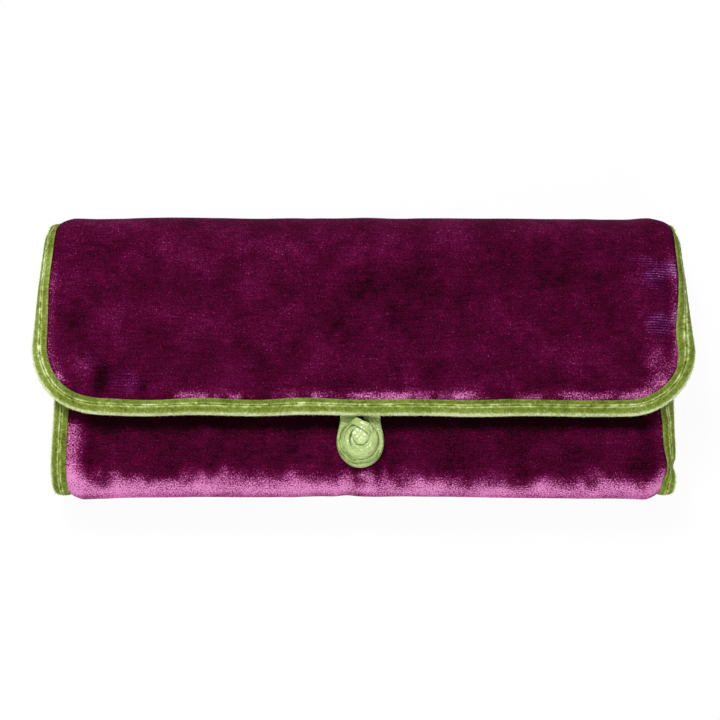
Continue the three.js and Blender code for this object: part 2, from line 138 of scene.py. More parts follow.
def rollPoints(x, s, n):
    # bends strip point (x, s), n below the velvet, round the folds: straight, arc, straight, arc, straight
    x, s, n = np.broadcast_arrays(np.asarray(x, float), np.asarray(s, float), np.asarray(n, float))
    x, n = curlEdge(x, s, n)
    lower = np.clip((s - bottomStart) / bottomRadius, 0, math.pi)
    upper = np.clip((s - topStart) / topRadius, 0, math.pi)
    inLower = bottomRadius - n
    inUpper = topRadius - n
    lowerY = bottomY - inLower * np.sin(lower) + np.maximum(bottomStart - s, 0) + np.maximum(s - backStart, 0)
    lowerZ = bottomRadius + inLower * np.cos(lower)
    upperY = topY + inUpper * np.sin(upper) - np.maximum(topStart - s, 0) - np.maximum(s - flapStart, 0)
    upperZ = topRadius - inUpper * np.cos(upper)
    first = s <= midBack
    return np.stack([x, np.where(first, lowerY, upperY), np.where(first, lowerZ, upperZ)], axis=-1)


def smoothStep(value, low, high):
    # from 0 at low to 1 at high, level at both: three squares less two cubes
    t = np.clip((value - low) / (high - low), 0, 1)
    return t * t * (3 - 2 * t)


def bell(value, middle, width):
    # 1 at the middle, falling off on both sides: the power of e to minus the square
    return np.exp(-(((value - middle) / width) ** 2))


def softNoise(a, b, cell, seed):
    # value noise from -1 to 1: seeded random numbers on a lattice of that cell, joined by smooth steps
    rows, columns = 97, 89
    lattice = np.random.default_rng(seed).random((rows, columns))
    a = np.asarray(a, float) / cell
    b = np.asarray(b, float) / cell
    i = np.floor(a).astype(int)
    j = np.floor(b).astype(int)
    shareA = smoothStep(a - i, 0, 1)
    shareB = smoothStep(b - j, 0, 1)
    sides = []
    for k in (j % columns, (j + 1) % columns):
        sides.append(lattice[i % rows, k] * (1 - shareA) + lattice[(i + 1) % rows, k] * shareA)
    return 2 * (sides[0] * (1 - shareB) + sides[1] * shareB) - 1


def joinAxes(*axes):
    # coordinates spread to one shape, as points
    return np.stack(np.broadcast_arrays(*axes), -1)


def unitRows(rows):
    # each row divided by its length
    return rows / np.linalg.norm(rows, axis=1, keepdims=True)


def lengthAlong(line):
    # distance along a line of points from its first: the running sum of its steps, as a column
    steps = np.linalg.norm(np.diff(line, axis=0), axis=1)
    return np.concatenate([[0], np.cumsum(steps)])[:, None]


def halfWidth(s):
    # half the strip: it flares along the back, and again from the top fold to the flap's round corners
    backFlare = np.clip((s - backStart) / (topStart - backStart), 0, 1)
    flapFlare = np.clip((s - flapStart) / (stripEnd - rollSize["flapCorner"] - flapStart), 0, 1)
    alongBack = rollSize["frontHalf"] + (rollSize["topFoldHalf"] - rollSize["frontHalf"]) * backFlare
    return alongBack + (rollSize["flapHalf"] - rollSize["topFoldHalf"]) * flapFlare


def outlineHalf(s, inset):
    # the same with the free corners rounded, drawn in by the inset
    wide = halfWidth(s) - inset
    for corner, fromEnd in ((rollSize["frontCorner"], s), (rollSize["flapCorner"], stripEnd - s)):
        over = np.clip(corner - fromEnd, 0, corner - inset)
        wide = wide - (corner - inset) + np.sqrt((corner - inset) ** 2 - over ** 2)
    return wide


def edgeDistance(x, s):
    # distance from the strip's outline, round its corners
    side = halfWidth(s) - np.abs(x)
    distance = side
    for corner, fromEnd in ((rollSize["frontCorner"], s), (rollSize["flapCorner"], stripEnd - s)):
        inCorner = (side < corner) & (fromEnd < corner)
        rounded = corner - np.hypot(corner - side, corner - fromEnd)
        distance = np.where(inCorner, rounded, np.minimum(distance, fromEnd))
    return distance


def foldShare(s):
    # 1 on the outermost line of either fold, falling to 0 on the flat panels
    top = smoothStep(np.abs(s - midTop), *rollSize["topFoldFade"])
    return np.maximum(top, smoothStep(np.abs(s - midBottom), *rollSize["bottomFoldFade"]))


def crownRun(s):
    # width over which the padding rises: short on the folds, where it is bent over and bulges
    return rollSize["crownRun"] + (rollSize["foldCrownRun"] - rollSize["crownRun"]) * foldShare(s)


def crownHalf(x, s):
    # half the padded thickness: a flat lip under the binding, then a smooth rise
    first = rollSize["bindingWidth"] - rollSize["riseLead"]
    last = rollSize["bindingWidth"] + crownRun(s)
    lip = rollSize["lipHalf"] + (rollSize["foldLipHalf"] - rollSize["lipHalf"]) * foldShare(s)
    rise = smoothStep(edgeDistance(x, s), first, last)
    part = np.clip((edgeDistance(x, s) - first) / (last - first), 0, 1)
    # a quarter circle on the folds, so that they end in a full round shoulder
    quarter = np.sqrt(1 - (1 - part) ** 2)
    rise = rise + (quarter - rise) * rollSize["foldRoundness"] * foldShare(s)
    return lip + (midDepth - lip) * rise


def stripRows(start, end, inset, step):
    # places along the strip between two ends, closer together round the free corners
    places = [np.linspace(start, end, max(2, int(round((end - start) / step)) + 1))]
    turns = np.linspace(0, math.pi / 2, rollSize["cornerSteps"])
    if start <= inset:
        corner = rollSize["frontCorner"]
        places = [corner - (corner - inset) * np.sin(turns), places[0][places[0] > corner + step / 3]]
    if end >= stripEnd - inset:
        corner = rollSize["flapCorner"]
        last = stripEnd - corner + (corner - inset) * np.sin(turns)
        places = [places[0][places[0] < stripEnd - corner - step / 3], last]
    return np.sort(np.concatenate(places))


def gridFaces(rows, columns, closedAcross=False):
    # quads of a grid of points stored row by row
    i = np.arange(rows - 1)[:, None]
    j = np.arange(columns if closedAcross else columns - 1)[None, :]
    k = (j + 1) % columns
    row, after = i * columns, (i + 1) * columns
    return np.stack([row + j, row + k, after + k, after + j], -1).reshape(-1, 4)


def shellFaces(rows, columns):
    # an outer and an inner grid, closed by four walls
    size = rows * columns
    outer = gridFaces(rows, columns)
    index = np.arange(size).reshape(rows, columns)
    walls = []
    for line in (index[0], index[-1][::-1], index[::-1, 0], index[:, -1]):
        walls.append(np.stack([line[1:], line[:-1], line[:-1] + size, line[1:] + size], -1))
    return np.concatenate([outer, outer[:, ::-1] + size, *walls])


def tubeFaces(rings, around):
    # a closed section carried along a path, with a fan to a middle point at each end
    count = rings * around
    j = np.arange(around)
    k = (j + 1) % around
    first = np.stack([k, j, np.full(around, count), np.full(around, count)], -1)
    base = count - around
    last = np.stack([base + j, base + k, np.full(around, count + 1), np.full(around, count + 1)], -1)
    return np.concatenate([gridFaces(rings, around, True), first, last])


def shellPart(outer, inner, u, v, **values):
    # a part from an outer and an inner grid of points, both with the same strip places and values
    points = np.concatenate([outer.reshape(-1, 3), inner.reshape(-1, 3)])
    part = {"points": points, "faces": shellFaces(*outer.shape[:2])}
    part["uv"] = np.tile(joinAxes(u, v).reshape(-1, 2), (2, 1))
    for key, value in values.items():
        part[key] = np.tile(np.broadcast_to(value, outer.shape[:2]).ravel(), 2)
    return part


def tubePart(rings, uv=None, ends=None, **values):
    # a part from rings of points, closed by a point at each end, by default the ring's middle
    ends = rings.mean(axis=1)[[0, -1]] if ends is None else ends
    points = np.concatenate([rings.reshape(-1, 3), ends])
    part = {"points": points, "faces": tubeFaces(*rings.shape[:2]), **values}
    if uv is not None:
        uv = uv.reshape(-1, 2)
        part["uv"] = np.concatenate([uv, uv[[0, -1]]])
    return part


def outwardFaces(points, faces):
    # turns every face round if the closed shape's volume comes out negative
    a, b, c, d = (points[faces[:, i]] for i in range(4))
    volume = np.einsum("ij,ij->i", a, np.cross(b, c)).sum() + np.einsum("ij,ij->i", a, np.cross(c, d)).sum()
    return faces if volume > 0 else faces[:, ::-1]


def makePiece(name, parts, materials, sharpAngle=40):
    # parts are dictionaries with points in mm, quads and values per point; a repeated corner makes a triangle
    points, faces, slots, uvs, start = [], [], [], [], 0
    values = {"nap": [], "violet": [], "crease": []}
    for part in parts:
        count = len(part["points"])
        quads = outwardFaces(part["points"], part["faces"]) if part.get("closed", True) else part["faces"]
        points.append(part["points"])
        faces.append(quads + start)
        slots.append(np.full(len(quads), part.get("slot", 0)))
        uvs.append(part.get("uv", part["points"][:, :2]))
        for key, filled in values.items():
            filled.append(np.broadcast_to(part.get(key, 0.0), count))
        start += count
    points = np.concatenate(points) * milli
    quads = np.concatenate(faces)
    slots = np.concatenate(slots)
    uvs = np.concatenate(uvs) * milli
    # a corner that repeats the one before it is left out
    keep = quads != np.roll(quads, 1, axis=1)
    corners = keep.sum(axis=1)
    mesh = bpy.data.meshes.new(name)
    mesh.vertices.add(len(points))
    mesh.vertices.foreach_set("co", points.ravel())
    loops = quads[keep]
    mesh.loops.add(len(loops))
    mesh.loops.foreach_set("vertex_index", loops)
    mesh.polygons.add(len(quads))
    mesh.polygons.foreach_set("loop_start", np.concatenate([[0], np.cumsum(corners)[:-1]]))
    mesh.polygons.foreach_set("material_index", slots)
    mesh.update(calc_edges=True)
    mesh.validate()
    layer = mesh.uv_layers.new(name="strip")
    used = np.zeros(len(mesh.loops), np.int32)
    mesh.loops.foreach_get("vertex_index", used)
    layer.data.foreach_set("uv", uvs[used].ravel())
    for key, filled in values.items():
        filled = np.concatenate(filled).astype(np.float32)
        if filled.any():
            mesh.attributes.new(key, "FLOAT", "POINT").data.foreach_set("value", filled)
    mesh.polygons.foreach_set("use_smooth", np.ones(len(mesh.polygons), bool))
    mesh.set_sharp_from_angle(angle=math.radians(sharpAngle))
    for material in materials:
        mesh.materials.append(material)
    piece = bpy.data.objects.new(name, mesh)
    bpy.context.scene.collection.objects.link(piece)
    return piece


def hexColour(code):
    # sRGB hex to the linear values that the shader takes
    values = np.array([int(code[i:i + 2], 16) for i in (1, 3, 5)]) / 255
    linear = np.where(values <= 0.04045, values / 12.92, ((values + 0.055) / 1.055) ** 2.4)
    return (*linear.tolist(), 1.0)


def setInputs(tree, node, inputs):
    # an input is a fixed value or another node's output
    for key, value in inputs.items():
        if isinstance(value, bpy.types.NodeSocket):
            tree.links.new(value, node.inputs[key])
        else:
            node.inputs[key].default_value = value


def addNode(tree, kind, inputs=None, stops=None, out=0, **settings):
    # one shader node with its settings, inputs and ramp colours; gives its output of that place or name
    node = tree.nodes.new("ShaderNode" + kind)
    for key, value in settings.items():
        setattr(node, key, value)
    setInputs(tree, node, inputs or {})
    if stops:
        ramp = node.color_ramp.elements
        while len(ramp) < len(stops):
            ramp.new(0.5)
        for element, (place, code) in zip(ramp, stops):
            element.position = place
            element.color = hexColour(code)
    return node.outputs[out]


def newMaterial(name):
    # a new material, its node tree and its shader
    material = bpy.data.materials.new(name)
    material.use_nodes = True
    return material, material.node_tree, material.node_tree.nodes["Principled BSDF"]


# Silk velvet: short dark plum pile; its pale pink is painted sheen and its darkest tone painted shade, both
# set per point
velvetLook = {
    "stops": [(0.0, "#180008"), (0.28, "#4a0228"), (0.48, "#651144"), (0.72, "#aa5089"), (1.0, "#e88fca")],
    # the same where the pile is combed flat and shows a painted violet sheen, and how much of it comes
    # through there
    "paintedVioletSheen": [(0.0, "#2a0022"), (0.28, "#49073d"), (0.5, "#6c2764"), (0.75, "#9a5898"), (1.0, "#c48fc4")],
    "violetSheenShare": 0.75,
    "rampTone": 0.225,      # tone of all of the pile, before the painted light
    "clump": 0.6,       # mm, tufts of crushed pile
    "crush": 2.8,       # mm, small places where the pile is crushed
    "cloud": 13.0,      # mm, hand marks in the pile
    "ribLength": 7.0,   # mm, woven rows of pile run across the strip
    "ribWidth": 0.75,   # mm, drawn about twice as coarse as the cloth so that it shows
    "pile": 0.52,       # mm, tufts of pile, also drawn coarse
    "combedRow": 0.95,  # mm, rows that show where the pile is combed flat, in the painted violet sheen, drawn coarser than the cloth
}
plumVelvet, tree, shader = newMaterial("plum silk velvet, woven pile")
strip = addNode(tree, "UVMap", uv_map="strip")
napValue = addNode(tree, "Attribute", out="Fac", attribute_name="nap")
clump = addNode(tree, "TexNoise", {"Vector": strip, "Scale": 1000 / velvetLook["clump"], "Detail": 3.0})
cloud = addNode(tree, "TexNoise", {"Vector": strip, "Scale": 1000 / velvetLook["cloud"], "Detail": 4.0})
ribScale = (1000 / velvetLook["ribLength"], 1000 / velvetLook["ribWidth"], 1.0)
ribPlace = addNode(tree, "Mapping", {"Vector": strip, "Scale": ribScale})
rib = addNode(tree, "TexNoise", {"Vector": ribPlace, "Scale": 1.0, "Detail": 2.0})
pile = addNode(tree, "TexNoise", {"Vector": strip, "Scale": 1000 / velvetLook["pile"], "Detail": 1.0})
marks = addNode(tree, "Math", {0: clump, 1: cloud}, operation="ADD")
marks = addNode(tree, "Math", {0: marks, 1: -1.0}, operation="ADD")
# the painted sheen breaks up in clumps, so the marks grow with it
depth = addNode(tree, "MapRange", {"Value": napValue, "To Min": 0.5, "To Max": 1.1})
marks = addNode(tree, "Math", {0: marks, 1: depth}, operation="MULTIPLY")
ribs = addNode(tree, "MapRange", {"Value": rib, "To Min": -0.14, "To Max": 0.14})
violetValue = addNode(tree, "Attribute", out="Fac", attribute_name="violet")
combedRibs = addNode(tree, "MapRange", {"Value": violetValue, "To Min": 1.0, "To Max": 2.0})
ribs = addNode(tree, "Math", {0: ribs, 1: combedRibs}, operation="MULTIPLY")
tufts = addNode(tree, "MapRange", {"Value": pile, "To Min": -0.5, "To Max": 0.5})
rough = addNode(tree, "MapRange", {"Value": napValue, "To Min": 0.45, "To Max": 2.6})
tufts = addNode(tree, "Math", {0: tufts, 1: rough}, operation="MULTIPLY")
# a wave texture's bands repeat every pi / 10
rowScale = 100 * math.pi / velvetLook["combedRow"]
rowInputs = {"Vector": strip, "Scale": rowScale, "Distortion": 2.0, "Detail": 1.0}
rows = addNode(tree, "TexWave", rowInputs, out="Fac", bands_direction="Y")
rows = addNode(tree, "MapRange", {"Value": rows, "To Min": -0.2, "To Max": 0.22})
rows = addNode(tree, "Math", {0: rows, 1: violetValue}, operation="MULTIPLY")
crushScale = 1000 / velvetLook["crush"]
crushInputs = {"Vector": strip, "Scale": crushScale, "Detail": 5.0, "Roughness": 0.7, "Distortion": 0.6}
crush = addNode(tree, "TexNoise", crushInputs)
crush = addNode(tree, "MapRange", {"Value": crush, "To Min": -0.22, "To Max": 0.22})
# single tufts that stand out and catch the light
speckRange = {"From Min": 0.62, "From Max": 0.8, "To Min": 0.0, "To Max": 0.22}
specks = addNode(tree, "MapRange", {"Value": pile, **speckRange})
grain = ribs
for layer in (tufts, rows, crush, specks):
    grain = addNode(tree, "Math", {0: grain, 1: layer}, operation="ADD")
# place on the ramp: painted sheen and shade per point, with the marks and grain, over the tone of all of the
# pile
rampTone = addNode(tree, "Math", {0: napValue, 1: marks}, operation="ADD")
rampTone = addNode(tree, "Math", {0: rampTone, 1: grain}, operation="ADD")
rampTone = addNode(tree, "Math", {0: rampTone, 1: velvetLook["rampTone"]}, operation="ADD", use_clamp=True)
plumColour = addNode(tree, "ValToRGB", {"Fac": rampTone}, stops=velvetLook["stops"])
# painted violet sheen mixed into the colour
violetShare = addNode(tree, "Math", {0: violetValue, 1: velvetLook["violetSheenShare"]}, operation="MULTIPLY")
violetColour = addNode(tree, "ValToRGB", {"Fac": rampTone}, stops=velvetLook["paintedVioletSheen"])
tinted = addNode(tree, "MixRGB", {"Fac": violetShare, "Color1": plumColour, "Color2": violetColour})
velvetHeight = addNode(tree, "Math", {0: grain, 1: marks}, operation="ADD")
velvetBump = addNode(tree, "Bump", {"Height": velvetHeight, "Strength": 0.5, "Distance": 0.0006})
setInputs(tree, shader, {
    "Base Color": tinted,
    "Normal": velvetBump,
    "Roughness": 0.85,
    "Specular IOR Level": 0.03,
    "Sheen Weight": 0.03,
    "Sheen Roughness": 0.35,
    "Sheen Tint": hexColour("#d67fb8"),
})

# Velvet ribbon: olive pile, darker in its woven middle, with painted sheen where the pile stands at the fold,
# painted highlights on its ridges and painted shade in its groove
ribbonLook = {
    "stops": [(0.0, "#485512"), (0.32, "#758533"), (0.55, "#8f9f4f"), (0.78, "#b6c581"), (1.0, "#e2ebbd")],
    "clump": 0.8,
    "threadLength": 1.4,    # mm, pile combed across the ribbon
    "threadWidth": 0.3,
}
oliveVelvet, tree, shader = newMaterial("olive velvet ribbon, folded over the edge")
strip = addNode(tree, "UVMap", uv_map="strip")
napValue = addNode(tree, "Attribute", out="Fac", attribute_name="nap")
clump = addNode(tree, "TexNoise", {"Vector": strip, "Scale": 1000 / ribbonLook["clump"], "Detail": 3.0})
threadScale = (1000 / ribbonLook["threadWidth"], 1000 / ribbonLook["threadLength"], 1.0)
threadPlace = addNode(tree, "Mapping", {"Vector": strip, "Scale": threadScale})
thread = addNode(tree, "TexNoise", {"Vector": threadPlace, "Scale": 1.0, "Detail": 1.0})
marks = addNode(tree, "MapRange", {"Value": clump, "To Min": -0.4, "To Max": 0.4})
threads = addNode(tree, "MapRange", {"Value": thread, "To Min": -0.25, "To Max": 0.25})
grain = addNode(tree, "Math", {0: marks, 1: threads}, operation="ADD")
rampTone = addNode(tree, "Math", {0: napValue, 1: grain}, operation="ADD", use_clamp=True)
oliveColour = addNode(tree, "ValToRGB", {"Fac": rampTone}, stops=ribbonLook["stops"])
oliveBump = addNode(tree, "Bump", {"Height": grain, "Strength": 0.5, "Distance": 0.0004})
setInputs(tree, shader, {
    "Base Color": oliveColour,
    "Normal": oliveBump,
    "Roughness": 0.8,
    "Specular IOR Level": 0.08,
    "Sheen Weight": 0.05,
    "Sheen Roughness": 0.35,
    "Sheen Tint": hexColour("#dfe8b4"),
})

# Satin ribbon: smooth floats of thread, so it shines in streaks across the weave
satinLook = {
    "stops": [(0.0, "#80954a"), (0.4, "#a1b76a"), (0.7, "#adc277"), (1.0, "#c8d994")],
    "threadLength": 5.0,
    "threadWidth": 0.2,     # mm, drawn coarser than the real 0.1 so that it shows
    "cloud": 4.0,
    "wrinkle": 13.0,        # mm, soft wrinkles of a lining that lies loose
    "crease": 2.6,          # mm, creases of a ribbon pulled tight, whose facets glint
}
greenSatin, tree, shader = newMaterial("pale green satin, woven floats")
strip = addNode(tree, "UVMap", uv_map="strip")
floatScale = (1000 / satinLook["threadLength"], 1000 / satinLook["threadWidth"], 1.0)
floatPlace = addNode(tree, "Mapping", {"Vector": strip, "Scale": floatScale})
floats = addNode(tree, "TexNoise", {"Vector": floatPlace, "Scale": 1.0, "Detail": 2.0})
cloud = addNode(tree, "TexNoise", {"Vector": strip, "Scale": 1000 / satinLook["cloud"], "Detail": 2.0})
satinTone = addNode(tree, "MapRange", {"Value": cloud, "To Min": 0.25, "To Max": 0.75})
floatTone = addNode(tree, "MapRange", {"Value": floats, "To Min": -0.25, "To Max": 0.25})
satinTone = addNode(tree, "Math", {0: satinTone, 1: floatTone}, operation="ADD", use_clamp=True)
satinColour = addNode(tree, "ValToRGB", {"Fac": satinTone}, stops=satinLook["stops"])
satinRough = addNode(tree, "MapRange", {"Value": floats, "To Min": 0.14, "To Max": 0.36})
wrinkleInputs = {"Vector": strip, "Scale": 1000 / satinLook["wrinkle"], "Detail": 3.0, "Distortion": 0.8}
wrinkle = addNode(tree, "TexNoise", wrinkleInputs)
wrinkleBump = addNode(tree, "Bump", {"Height": wrinkle, "Strength": 0.3, "Distance": 0.0012})
creaseInputs = {"Vector": strip, "Scale": 1000 / satinLook["crease"], "Detail": 1.0, "Distortion": 1.2}
crease = addNode(tree, "TexNoise", creaseInputs)
creaseValue = addNode(tree, "Attribute", out="Fac", attribute_name="crease")
crease = addNode(tree, "Math", {0: crease, 1: creaseValue}, operation="MULTIPLY")
bumpInputs = {"Height": crease, "Strength": 0.7, "Distance": 0.0011, "Normal": wrinkleBump}
creaseBump = addNode(tree, "Bump", bumpInputs)
bumpInputs = {"Height": floats, "Strength": 0.3, "Distance": 0.0002, "Normal": creaseBump}
satinBump = addNode(tree, "Bump", bumpInputs)
# the shine is drawn out along one direction of the weave
threadLine = addNode(tree, "Tangent", direction_type="UV_MAP", uv_map="strip")
setInputs(tree, shader, {
    "Base Color": satinColour,
    "Roughness": satinRough,
    "Normal": satinBump,
    "Tangent": threadLine,
    "Anisotropic": 0.8,
    "Anisotropic Rotation": 0.25,
    "Specular IOR Level": 0.75,
    "Sheen Weight": 0.08,
    "Sheen Tint": hexColour("#eef5d5"),
})

# Polyester zip tape: plain herringbone weave
tapeLook = {"stops": [(0.0, "#55611f"), (0.5, "#7b893b"), (1.0, "#98a758")], "weave": 1.6, "wear": 2.5}
zipTape, tree, shader = newMaterial("olive polyester zip tape, woven")
strip = addNode(tree, "UVMap", uv_map="strip")
turned = addNode(tree, "Mapping", {"Vector": strip, "Rotation": (0, 0, math.radians(35))})
weaveScale = 100 * math.pi / tapeLook["weave"]
weave = addNode(tree, "TexWave", {"Vector": turned, "Scale": weaveScale, "Distortion": 1.0}, out="Fac")
wear = addNode(tree, "TexNoise", {"Vector": strip, "Scale": 1000 / tapeLook["wear"], "Detail": 3.0})
tapeTone = addNode(tree, "Math", {0: weave, 1: wear}, operation="MULTIPLY")
tapeColour = addNode(tree, "ValToRGB", {"Fac": tapeTone}, stops=tapeLook["stops"])
tapeBump = addNode(tree, "Bump", {"Height": weave, "Strength": 0.4, "Distance": 0.0002})
tapeInputs = {"Base Color": tapeColour, "Normal": tapeBump, "Roughness": 0.75, "Specular IOR Level": 0.3}
setInputs(tree, shader, tapeInputs)

# Nylon coil: drawn monofilament, a little glossy
coilLook = {"stops": [(0.3, "#66742b"), (0.7, "#8e9d4c")], "streaksPerMetre": 900.0}
nylonCoil, tree, shader = newMaterial("olive nylon coil, drawn")
objectPlace = addNode(tree, "TexCoord", out="Object")
drawnInputs = {"Vector": objectPlace, "Scale": coilLook["streaksPerMetre"], "Detail": 2.0}
drawn = addNode(tree, "TexNoise", drawnInputs)
coilColour = addNode(tree, "ValToRGB", {"Fac": drawn}, stops=coilLook["stops"])
coilRough = addNode(tree, "MapRange", {"Value": drawn, "To Min": 0.3, "To Max": 0.5})
setInputs(tree, shader, {"Base Color": coilColour, "Roughness": coilRough})

# Brass fittings: cast, tumbled and slightly tarnished, so dull in patches
brassLook = {"stops": [(0.25, "#7d6230"), (0.55, "#b08d4a"), (0.8, "#c9a662")], "tarnish": 3.0, "tumble": 0.4}
brass, tree, shader = newMaterial("antiqued brass, tumbled")
objectPlace = addNode(tree, "TexCoord", out="Object")
tarnishInputs = {"Vector": objectPlace, "Scale": 1000 / brassLook["tarnish"], "Detail": 4.0}
tarnish = addNode(tree, "TexNoise", tarnishInputs)
tumbleInputs = {"Vector": objectPlace, "Scale": 1000 / brassLook["tumble"], "Detail": 2.0}
tumble = addNode(tree, "TexNoise", tumbleInputs)
brassColour = addNode(tree, "ValToRGB", {"Fac": tarnish}, stops=brassLook["stops"])
brassRough = addNode(tree, "MapRange", {"Value": tarnish, "To Min": 0.5, "To Max": 0.22})
brassBump = addNode(tree, "Bump", {"Height": tumble, "Strength": 0.12, "Distance": 0.0001})
brassInputs = {"Base Color": brassColour, "Roughness": brassRough, "Normal": brassBump, "Metallic": 1.0}
setInputs(tree, shader, brassInputs)

# Sewing thread: twisted cotton, matt
threadLook = {"stops": [(0.3, "#9aac68"), (0.7, "#c8d8a0")], "twist": 0.4}
sewingThread, tree, shader = newMaterial("pale green sewing thread, twisted")
objectPlace = addNode(tree, "TexCoord", out="Object")
twistInputs = {"Vector": objectPlace, "Scale": 1000 / threadLook["twist"], "Detail": 1.0}
twist = addNode(tree, "TexNoise", twistInputs)
twistColour = addNode(tree, "ValToRGB", {"Fac": twist}, stops=threadLook["stops"])
setInputs(tree, shader, {"Base Color": twistColour, "Roughness": 0.7})
print("materials made")

# Camera: looks down on the roll as it lies, from the front
cameraView = {"elevation": 72.0, "distance": 600.0, "span": 255.2, "target": (-1.4, -1.8, 16.0)}
lens = bpy.data.cameras.new("camera")
camera = bpy.data.objects.new("camera", lens)
bpy.context.scene.collection.objects.link(camera)
tilt = math.radians(cameraView["elevation"])
towards = Vector((0, -math.cos(tilt), math.sin(tilt)))
camera.location = Vector(cameraView["target"]) * milli + towards * cameraView["distance"] * milli
camera.rotation_euler = (math.pi / 2 - tilt, 0, 0)
lens.sensor_width = 36.0
lens.lens = lens.sensor_width * cameraView["distance"] / cameraView["span"]
lens.clip_start = 0.01
bpy.context.scene.camera = camera
bpy.context.scene.view_settings.view_transform = "Standard"

# White floor that keeps a faint shadow, and a white world
floorLook = {"side": 6000.0, "white": 0.95, "drop": 0.02}
floorPoints = np.array([[-1, -1, 0], [1, -1, 0], [1, 1, 0], [-1, 1, 0]]) * floorLook["side"] / 2
floorPoints = floorPoints - np.array([0, 0, floorLook["drop"]])
paper, tree, shader = newMaterial("white paper sweep, matt")
rays = addNode(tree, "LightPath").node.outputs
seen = addNode(tree, "Math", {0: rays["Is Camera Ray"], 1: rays["Is Glossy Ray"]}, operation="MAXIMUM")
seen = addNode(tree, "Math", {0: seen, 1: rays["Is Transmission Ray"]}, operation="MAXIMUM")
share = addNode(tree, "Math", {0: seen, 1: floorLook["white"]}, operation="MULTIPLY")
glow = addNode(tree, "Emission", {"Color": (1, 1, 1, 1), "Strength": 1.0})
setInputs(tree, shader, {"Base Color": hexColour("#f4f4f4"), "Roughness": 0.9, "Specular IOR Level": 0.0})
mixed = addNode(tree, "MixShader", {0: share, 1: shader.outputs[0], 2: glow})
tree.links.new(mixed, tree.nodes["Material Output"].inputs["Surface"])
floorShape = {"points": floorPoints, "faces": np.array([[0, 1, 2, 3]]), "closed": False}
floor = makePiece("floor", [floorShape], [paper])
world = bpy.data.worlds.new("white studio")
world.use_nodes = True
bpy.context.scene.world = world
tree = world.node_tree
rays = addNode(tree, "LightPath").node.outputs
seen = addNode(tree, "Math", {0: rays["Is Camera Ray"], 1: rays["Is Glossy Ray"]}, operation="MAXIMUM")
strength = addNode(tree, "MapRange", {"Value": seen, "To Min": 0.3, "To Max": 1.0})
setInputs(tree, tree.nodes["Background"], {"Strength": strength, "Color": (1, 1, 1, 1)})

# Soft studio light: a broad key high behind, a fill low in front, and a small lamp that glints in the satin
lamps = {
    "key": {"place": (-220, 480, 820), "size": 260.0, "watts": 7.0},
    "fill": {"place": (150, -800, 420), "size": 500.0, "watts": 3.9},
    "sparkle": {"place": (-440, -270, 540), "size": 30.0, "watts": 0.8},
}
for name, lamp in lamps.items():
    light = bpy.data.lights.new(name, "AREA")
    light.size = lamp["size"] * milli
    light.energy = lamp["watts"]
    lampObject = bpy.data.objects.new(name, light)
    bpy.context.scene.collection.objects.link(lampObject)
    lampObject.location = Vector(lamp["place"]) * milli
    lampObject.rotation_euler = (-Vector(lamp["place"])).to_track_quat("-Z", "Y").to_euler()
print("camera, floor and lights set")

# Cloth simulation of the padded strip: a coarse closed shell, held at its binding and button, is blown up
padding = {
    "step": 3.6,        # mm, size of the simulated mesh
    "scale": 10,        # the solver is steadier at ten times the size
    "cloth": {
        "quality": 6,
        "mass": 0.3,
        "tension_stiffness": 12,
        "compression_stiffness": 12,
        "bending_stiffness": 0.4,
        "vertex_group_mass": "held",
        "use_pressure": True,
        "uniform_pressure_force": 0.12,
    },
    "frames": 20,
    "bindingHold": 0.5, # mm past the binding that is still held
    "buttonHold": 4.0,  # mm round the button
    "outerCap": 1.3,    # mm, the swell levels off towards this
    "innerCap": 0.3,    # mm, the same for the lining, which has a neighbour
    "button": (buttonX, rollSize["frontEdge"] - buttonY),
}
simEnds = rollSize["edgeInset"], stripEnd - rollSize["edgeInset"]
simRows = np.linspace(*simEnds, int(stripEnd / padding["step"]))
simColumns = np.linspace(-1, 1, int(2 * rollSize["frontHalf"] / padding["step"]))
outerSwell = np.zeros((len(simRows), len(simColumns)))


def simulateSwell():
    # returns how far the shell's outer side moved out along its normal, in mm
    s = simRows[:, None]
    x = simColumns[None, :] * outlineHalf(s, rollSize["edgeInset"])
    crown = crownHalf(x, s) * 0.9
    outer = rollPoints(x, s, midDepth - crown)
    inner = rollPoints(x, s, midDepth + crown)
    shell = shellPart(outer * padding["scale"], inner * padding["scale"], x, s)
    pad = makePiece("swell", [shell], [])
    held = edgeDistance(x, s) < rollSize["bindingWidth"] + padding["bindingHold"]
    nearButton = np.hypot(x - padding["button"][0], s - padding["button"][1]) < padding["buttonHold"]
    pinned = np.concatenate([(held | nearButton).ravel(), held.ravel()])
    group = pad.vertex_groups.new(name="held")
    group.add(np.flatnonzero(pinned).tolist(), 1.0, "REPLACE")
    cloth = pad.modifiers.new("padding", "CLOTH")
    for key, value in padding["cloth"].items():
        setattr(cloth.settings, key, value)
    cloth.settings.effector_weights.gravity = 0
    cloth.collision_settings.use_collision = False
    scene = bpy.context.scene
    for number in range(1, padding["frames"] + 1):
        scene.frame_set(number)
    shaped = pad.evaluated_get(bpy.context.evaluated_depsgraph_get()).to_mesh()
    moved = np.zeros(len(shaped.vertices) * 3, np.float32)
    shaped.vertices.foreach_get("co", moved)
    scene.frame_set(1)
    bpy.data.objects.remove(pad)
    moved = moved.reshape(-1, 3)[:x.size] / milli / padding["scale"]
    outwards = unitRows((outer - rollPoints(x, s, midDepth)).reshape(-1, 3))
    return np.einsum("ij,ij->i", moved - outer.reshape(-1, 3), outwards).reshape(x.shape)


outerSwell = simulateSwell()
print("swell from the simulation, mm:", outerSwell.min().round(2), "to", outerSwell.max().round(2))


